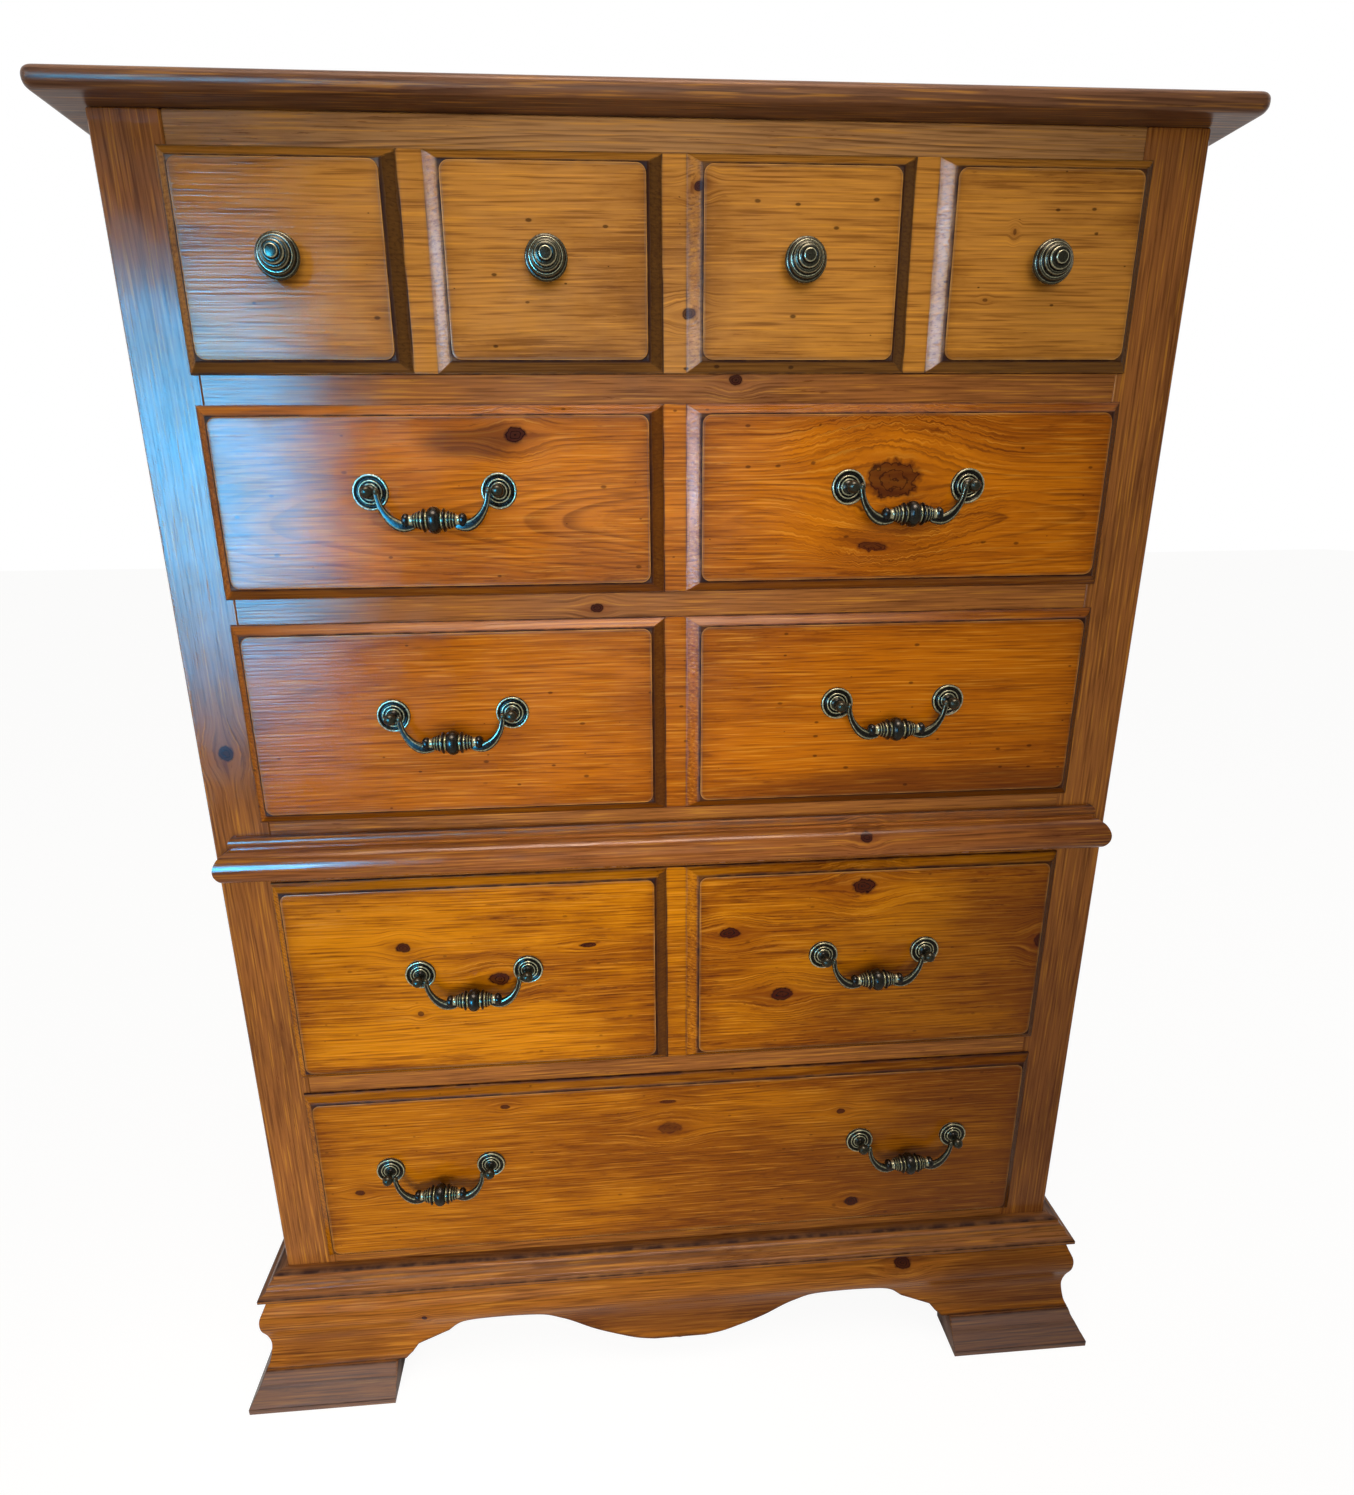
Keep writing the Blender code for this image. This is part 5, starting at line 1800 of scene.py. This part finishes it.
@dataclass(frozen=True)
class Lamp:
    """A soft rectangular lamp: where it is, what it faces, its size, its brightness and its colour."""

    name: str
    place: Point
    aim: Point
    size: tuple[float, float]
    radiance: float
    colour: Point = (1.0, 1.0, 1.0)
    spread: float = math.pi
    lights: bool = True
    shines: bool = True

    def build(self) -> None:
        """Hangs the lamp."""
        data = bpy.data.lights.new(self.name, "AREA")
        data.shape = "RECTANGLE"
        data.size, data.size_y = self.size
        data.energy = self.radiance * math.pi * self.size[0] * self.size[1]
        data.color = self.colour
        data.spread = self.spread
        lamp = bpy.data.objects.new(self.name, data)
        turn = (Vector(self.aim) - Vector(self.place)).to_track_quat("-Z", "Y").to_matrix()
        lamp.matrix_world = Matrix.Translation(self.place) @ turn.to_4x4()
        lamp.visible_camera = False
        lamp.visible_diffuse = self.lights
        lamp.visible_glossy = self.shines
        bpy.context.scene.collection.objects.link(lamp)


DAYLIGHT = (1.0, 0.97, 0.84)
PANE_BLUE = (0.34, 0.66, 1.0)
# Lamps that light without being mirrored, then those that are only mirrored, in the left-facing bevels
# and on the left of the case
LAMPS = (
    Lamp(
        "window", (0.0, -1.15, 0.95), (-0.02, -0.2, 0.90), (0.5, 1.0), 1.16, DAYLIGHT, 1.15,
        shines=False,
    ),
    Lamp(
        "low_window", (-0.45, -1.30, 0.24), (-0.22, -0.2, 0.16), (0.6, 0.3), 3.2, DAYLIGHT, 1.3,
        shines=False,
    ),
    Lamp(
        "ceiling", (0.1, -0.9, 2.6), (0.0, -0.2, 0.6), (1.8, 1.2), 2.0, (1.0, 0.95, 0.88),
        shines=False,
    ),
    Lamp(
        "window_sky", (-0.92, -1.45, 0.88), (-0.310, -0.2, 0.82), (0.44, 1.0), 3.1, (0.03, 0.50, 1.0),
        0.62, lights=False,
    ),
    Lamp(
        "side_window", (-1.45, -1.10, 0.95), (-0.10, -0.383, 0.90), (0.8, 1.3), 0.25, (0.60, 0.84, 1.0),
        0.50, lights=False,
    ),
    Lamp(
        "left_pane", (-1.89, -1.10, 1.58), (-0.18, -0.21, 1.10), (0.2, 0.4), 0.50, PANE_BLUE, 0.30,
        lights=False,
    ),
    Lamp(
        "middle_pane", (-0.90, -1.10, 0.93), (0.02, -0.21, 0.92), (0.14, 0.6), 0.55, (0.34, 0.68, 1.0),
        0.26, lights=False,
    ),
    Lamp(
        "right_pane", (-0.33, -1.10, 1.35), (0.21, -0.21, 1.10), (0.12, 0.4), 0.60, PANE_BLUE, 0.30,
        lights=False,
    ),
    Lamp(
        "ceiling_shine", (0.0, -0.9, 2.6), (0.0, -0.2, 0.6), (2.2, 0.6), 1.6, (1.0, 0.80, 0.66), 0.9,
        lights=False,
    ),
)


def seen_share(nodes: Nodes, place: Socket, near: float, far: float) -> Socket:
    """How much of the white backdrop a ray meets: all for the camera, and behind the dresser for gloss.

    Args:
        nodes: the tree to add to.
        place: how far back the ray looks or lands.
        near: where a glossy ray meets none of it.
        far: where a glossy ray meets all of it.

    Returns:
        The share, 0 to 1.
    """
    path = nodes.node("LightPath").outputs
    gloss = nodes.sums("MULTIPLY", path["Is Glossy Ray"], nodes.ramp(place, near, far))
    through = nodes.sums("MAXIMUM", gloss, path["Is Transmission Ray"])
    return nodes.sums("MAXIMUM", through, path["Is Camera Ray"])


@dataclass(frozen=True)
class Studio:
    """A plain pale floor, soft light and the camera, whose lens is given in pixels of the frame."""

    eye: Point = (-0.07044, -0.8997, 0.92479)
    yaw: float = 0.06715
    pitch: float = 0.28036
    roll: float = 0.0124
    focal: float = 799.7
    centre: tuple[float, float] = (649.4, 738.0)
    frame: tuple[int, int] = (1354, 1495)
    sensor: float = 36.0
    clip_start: float = 0.01
    lamps: tuple[Lamp, ...] = LAMPS
    room: float = 0.22
    room_tint: tuple[float, float, float, float] = (1.0, 0.92, 0.80, 1.0)
    room_fade: tuple[float, float] = (-0.35, 0.15)
    floor_reach: float = 14.0
    floor_grey: float = 0.86
    floor_matt: float = 0.9
    floor_white: float = 1.16
    floor_glow: float = 0.80
    floor_fade: tuple[float, float] = (-0.5, 0.4)

    def camera(self) -> None:
        """The camera: its lens, its shift and where it looks."""
        data = bpy.data.cameras.new("camera")
        data.sensor_width = self.sensor
        data.sensor_fit = "AUTO"
        wide, tall = self.frame
        long_side = max(wide, tall)
        data.lens = self.focal / long_side * data.sensor_width
        data.shift_x = (wide / 2 - self.centre[0]) / long_side
        data.shift_y = (self.centre[1] - tall / 2) / long_side
        data.clip_start = self.clip_start
        ahead = Vector((
            math.sin(self.yaw) * math.cos(self.pitch),
            math.cos(self.yaw) * math.cos(self.pitch),
            -math.sin(self.pitch),
        ))
        level = Vector((math.cos(self.yaw), -math.sin(self.yaw), 0.0))
        down = ahead.cross(level)
        right = level * math.cos(self.roll) + down * math.sin(self.roll)
        below = down * math.cos(self.roll) - level * math.sin(self.roll)
        turn = Matrix((right, -below, -ahead)).transposed()
        camera = bpy.data.objects.new("camera", data)
        camera.matrix_world = Matrix.Translation(self.eye) @ turn.to_4x4()
        bpy.context.scene.collection.objects.link(camera)
        bpy.context.scene.camera = camera

    def surroundings(self) -> None:
        """A white backdrop for what is seen, and a dimmer room as the light.

        A glossy ray sees the backdrop behind the dresser and, through a smooth step, the room in front.
        """
        world = bpy.data.worlds.new("studio")
        world.use_nodes = True
        nodes = Nodes(world.node_tree)
        room = nodes.tree.nodes["Background"]
        nodes.feed(room.inputs["Color"], self.room_tint)
        nodes.feed(room.inputs["Strength"], self.room)
        backdrop = nodes.node("Background", {"Color": (1.0, 1.0, 1.0, 1.0)})
        view = nodes.parts(nodes.node("TexCoord").outputs["Generated"])
        seen = seen_share(nodes, view["Y"], *self.room_fade)
        mix = nodes.node("MixShader", {0: seen, 1: room.outputs[0], 2: backdrop.outputs[0]})
        nodes.feed(nodes.tree.nodes["World Output"].inputs["Surface"], mix.outputs[0])
        bpy.context.scene.world = world

    def floor(self) -> None:
        """A wide pale floor that keeps the dresser's shadow."""
        recipe = Recipe("pale_floor")
        grey = (self.floor_grey, self.floor_grey, self.floor_grey, 1.0)
        recipe.shade(Base_Color=grey, Roughness=self.floor_matt, Specular_IOR_Level=0.0)
        back = recipe.parts(recipe.node("TexCoord").outputs["Object"])["Y"]
        seen = recipe.sums("MULTIPLY", seen_share(recipe, back, *self.floor_fade), self.floor_glow)
        glow = recipe.node("Emission", {"Color": (1.0, 1.0, 1.0, 1.0), "Strength": self.floor_white})
        mix = recipe.node("MixShader", {0: seen, 1: recipe.shader.outputs[0], 2: glow.outputs[0]})
        recipe.feed(recipe.tree.nodes["Material Output"].inputs["Surface"], mix.outputs[0])
        mesh = bpy.data.meshes.new("floor")
        corners = [(-1, -1, 0), (1, -1, 0), (1, 1, 0), (-1, 1, 0)]
        mesh.from_pydata([Vector(corner) * self.floor_reach for corner in corners], [], [[0, 1, 2, 3]])
        mesh.materials.append(recipe.material)
        piece = bpy.data.objects.new("floor", mesh)
        bpy.context.scene.collection.objects.link(piece)

    def build(self) -> None:
        """Sets up the studio."""
        self.camera()
        for lamp in self.lamps:
            lamp.build()
        self.surroundings()
        self.floor()
        bpy.context.scene.view_settings.view_transform = "Standard"
        log.info("studio: camera, floor and %d lamps", len(self.lamps))


def build_case() -> None:
    """Builds the case from the top down, and finishes its sides, stiles, rails and back."""
    TopBoard(TOP.material()).build()
    WaistMoulding(WAIST.material()).build()
    BaseMoulding(COVE.material()).build()
    BracketBase(BASE.material(), BASE_SIDES.material()).build()
    solids = {
        RAILS: ("frame_1", "frame_2", "frame_3", "frame_4", "bottom_frame"),
        UPRIGHTS: ("stile_left", "stile_right"),
        SIDES: ("side_left", "side_right"),
        TOP_RAIL: ("top_rail",),
        PLYWOOD: ("back_panel", *(f"drawer_{row}_bottom" for row in STRIPS)),
        BARE_WOOD: tuple(f"drawer_{row}_box" for row in STRIPS),
    }
    for finish, nodes in solids.items():
        material = finish.material()
        for node in nodes:
            dress(node, material)


def build_drawers() -> None:
    """Builds the five drawer fronts, with four knobs on the first and two bail pulls on each other."""
    brass = BrassFinish().material()
    for row, centres in STRIPS.items():
        PanelledFront(PANELS[row].material(), row, centres).build()
    for number in range(1, 5):
        TurnedKnob(brass).build(number)
    for row in range(2, 6):
        for side in Side:
            BailPull(brass).build(f"drawer_{row}", side)


def main() -> None:
    """Builds every sub-assembly in order."""
    logging.basicConfig(level=logging.INFO, format="%(message)s")
    build_case()
    build_drawers()
    Studio().build()


if __name__ == "__main__":
    main()
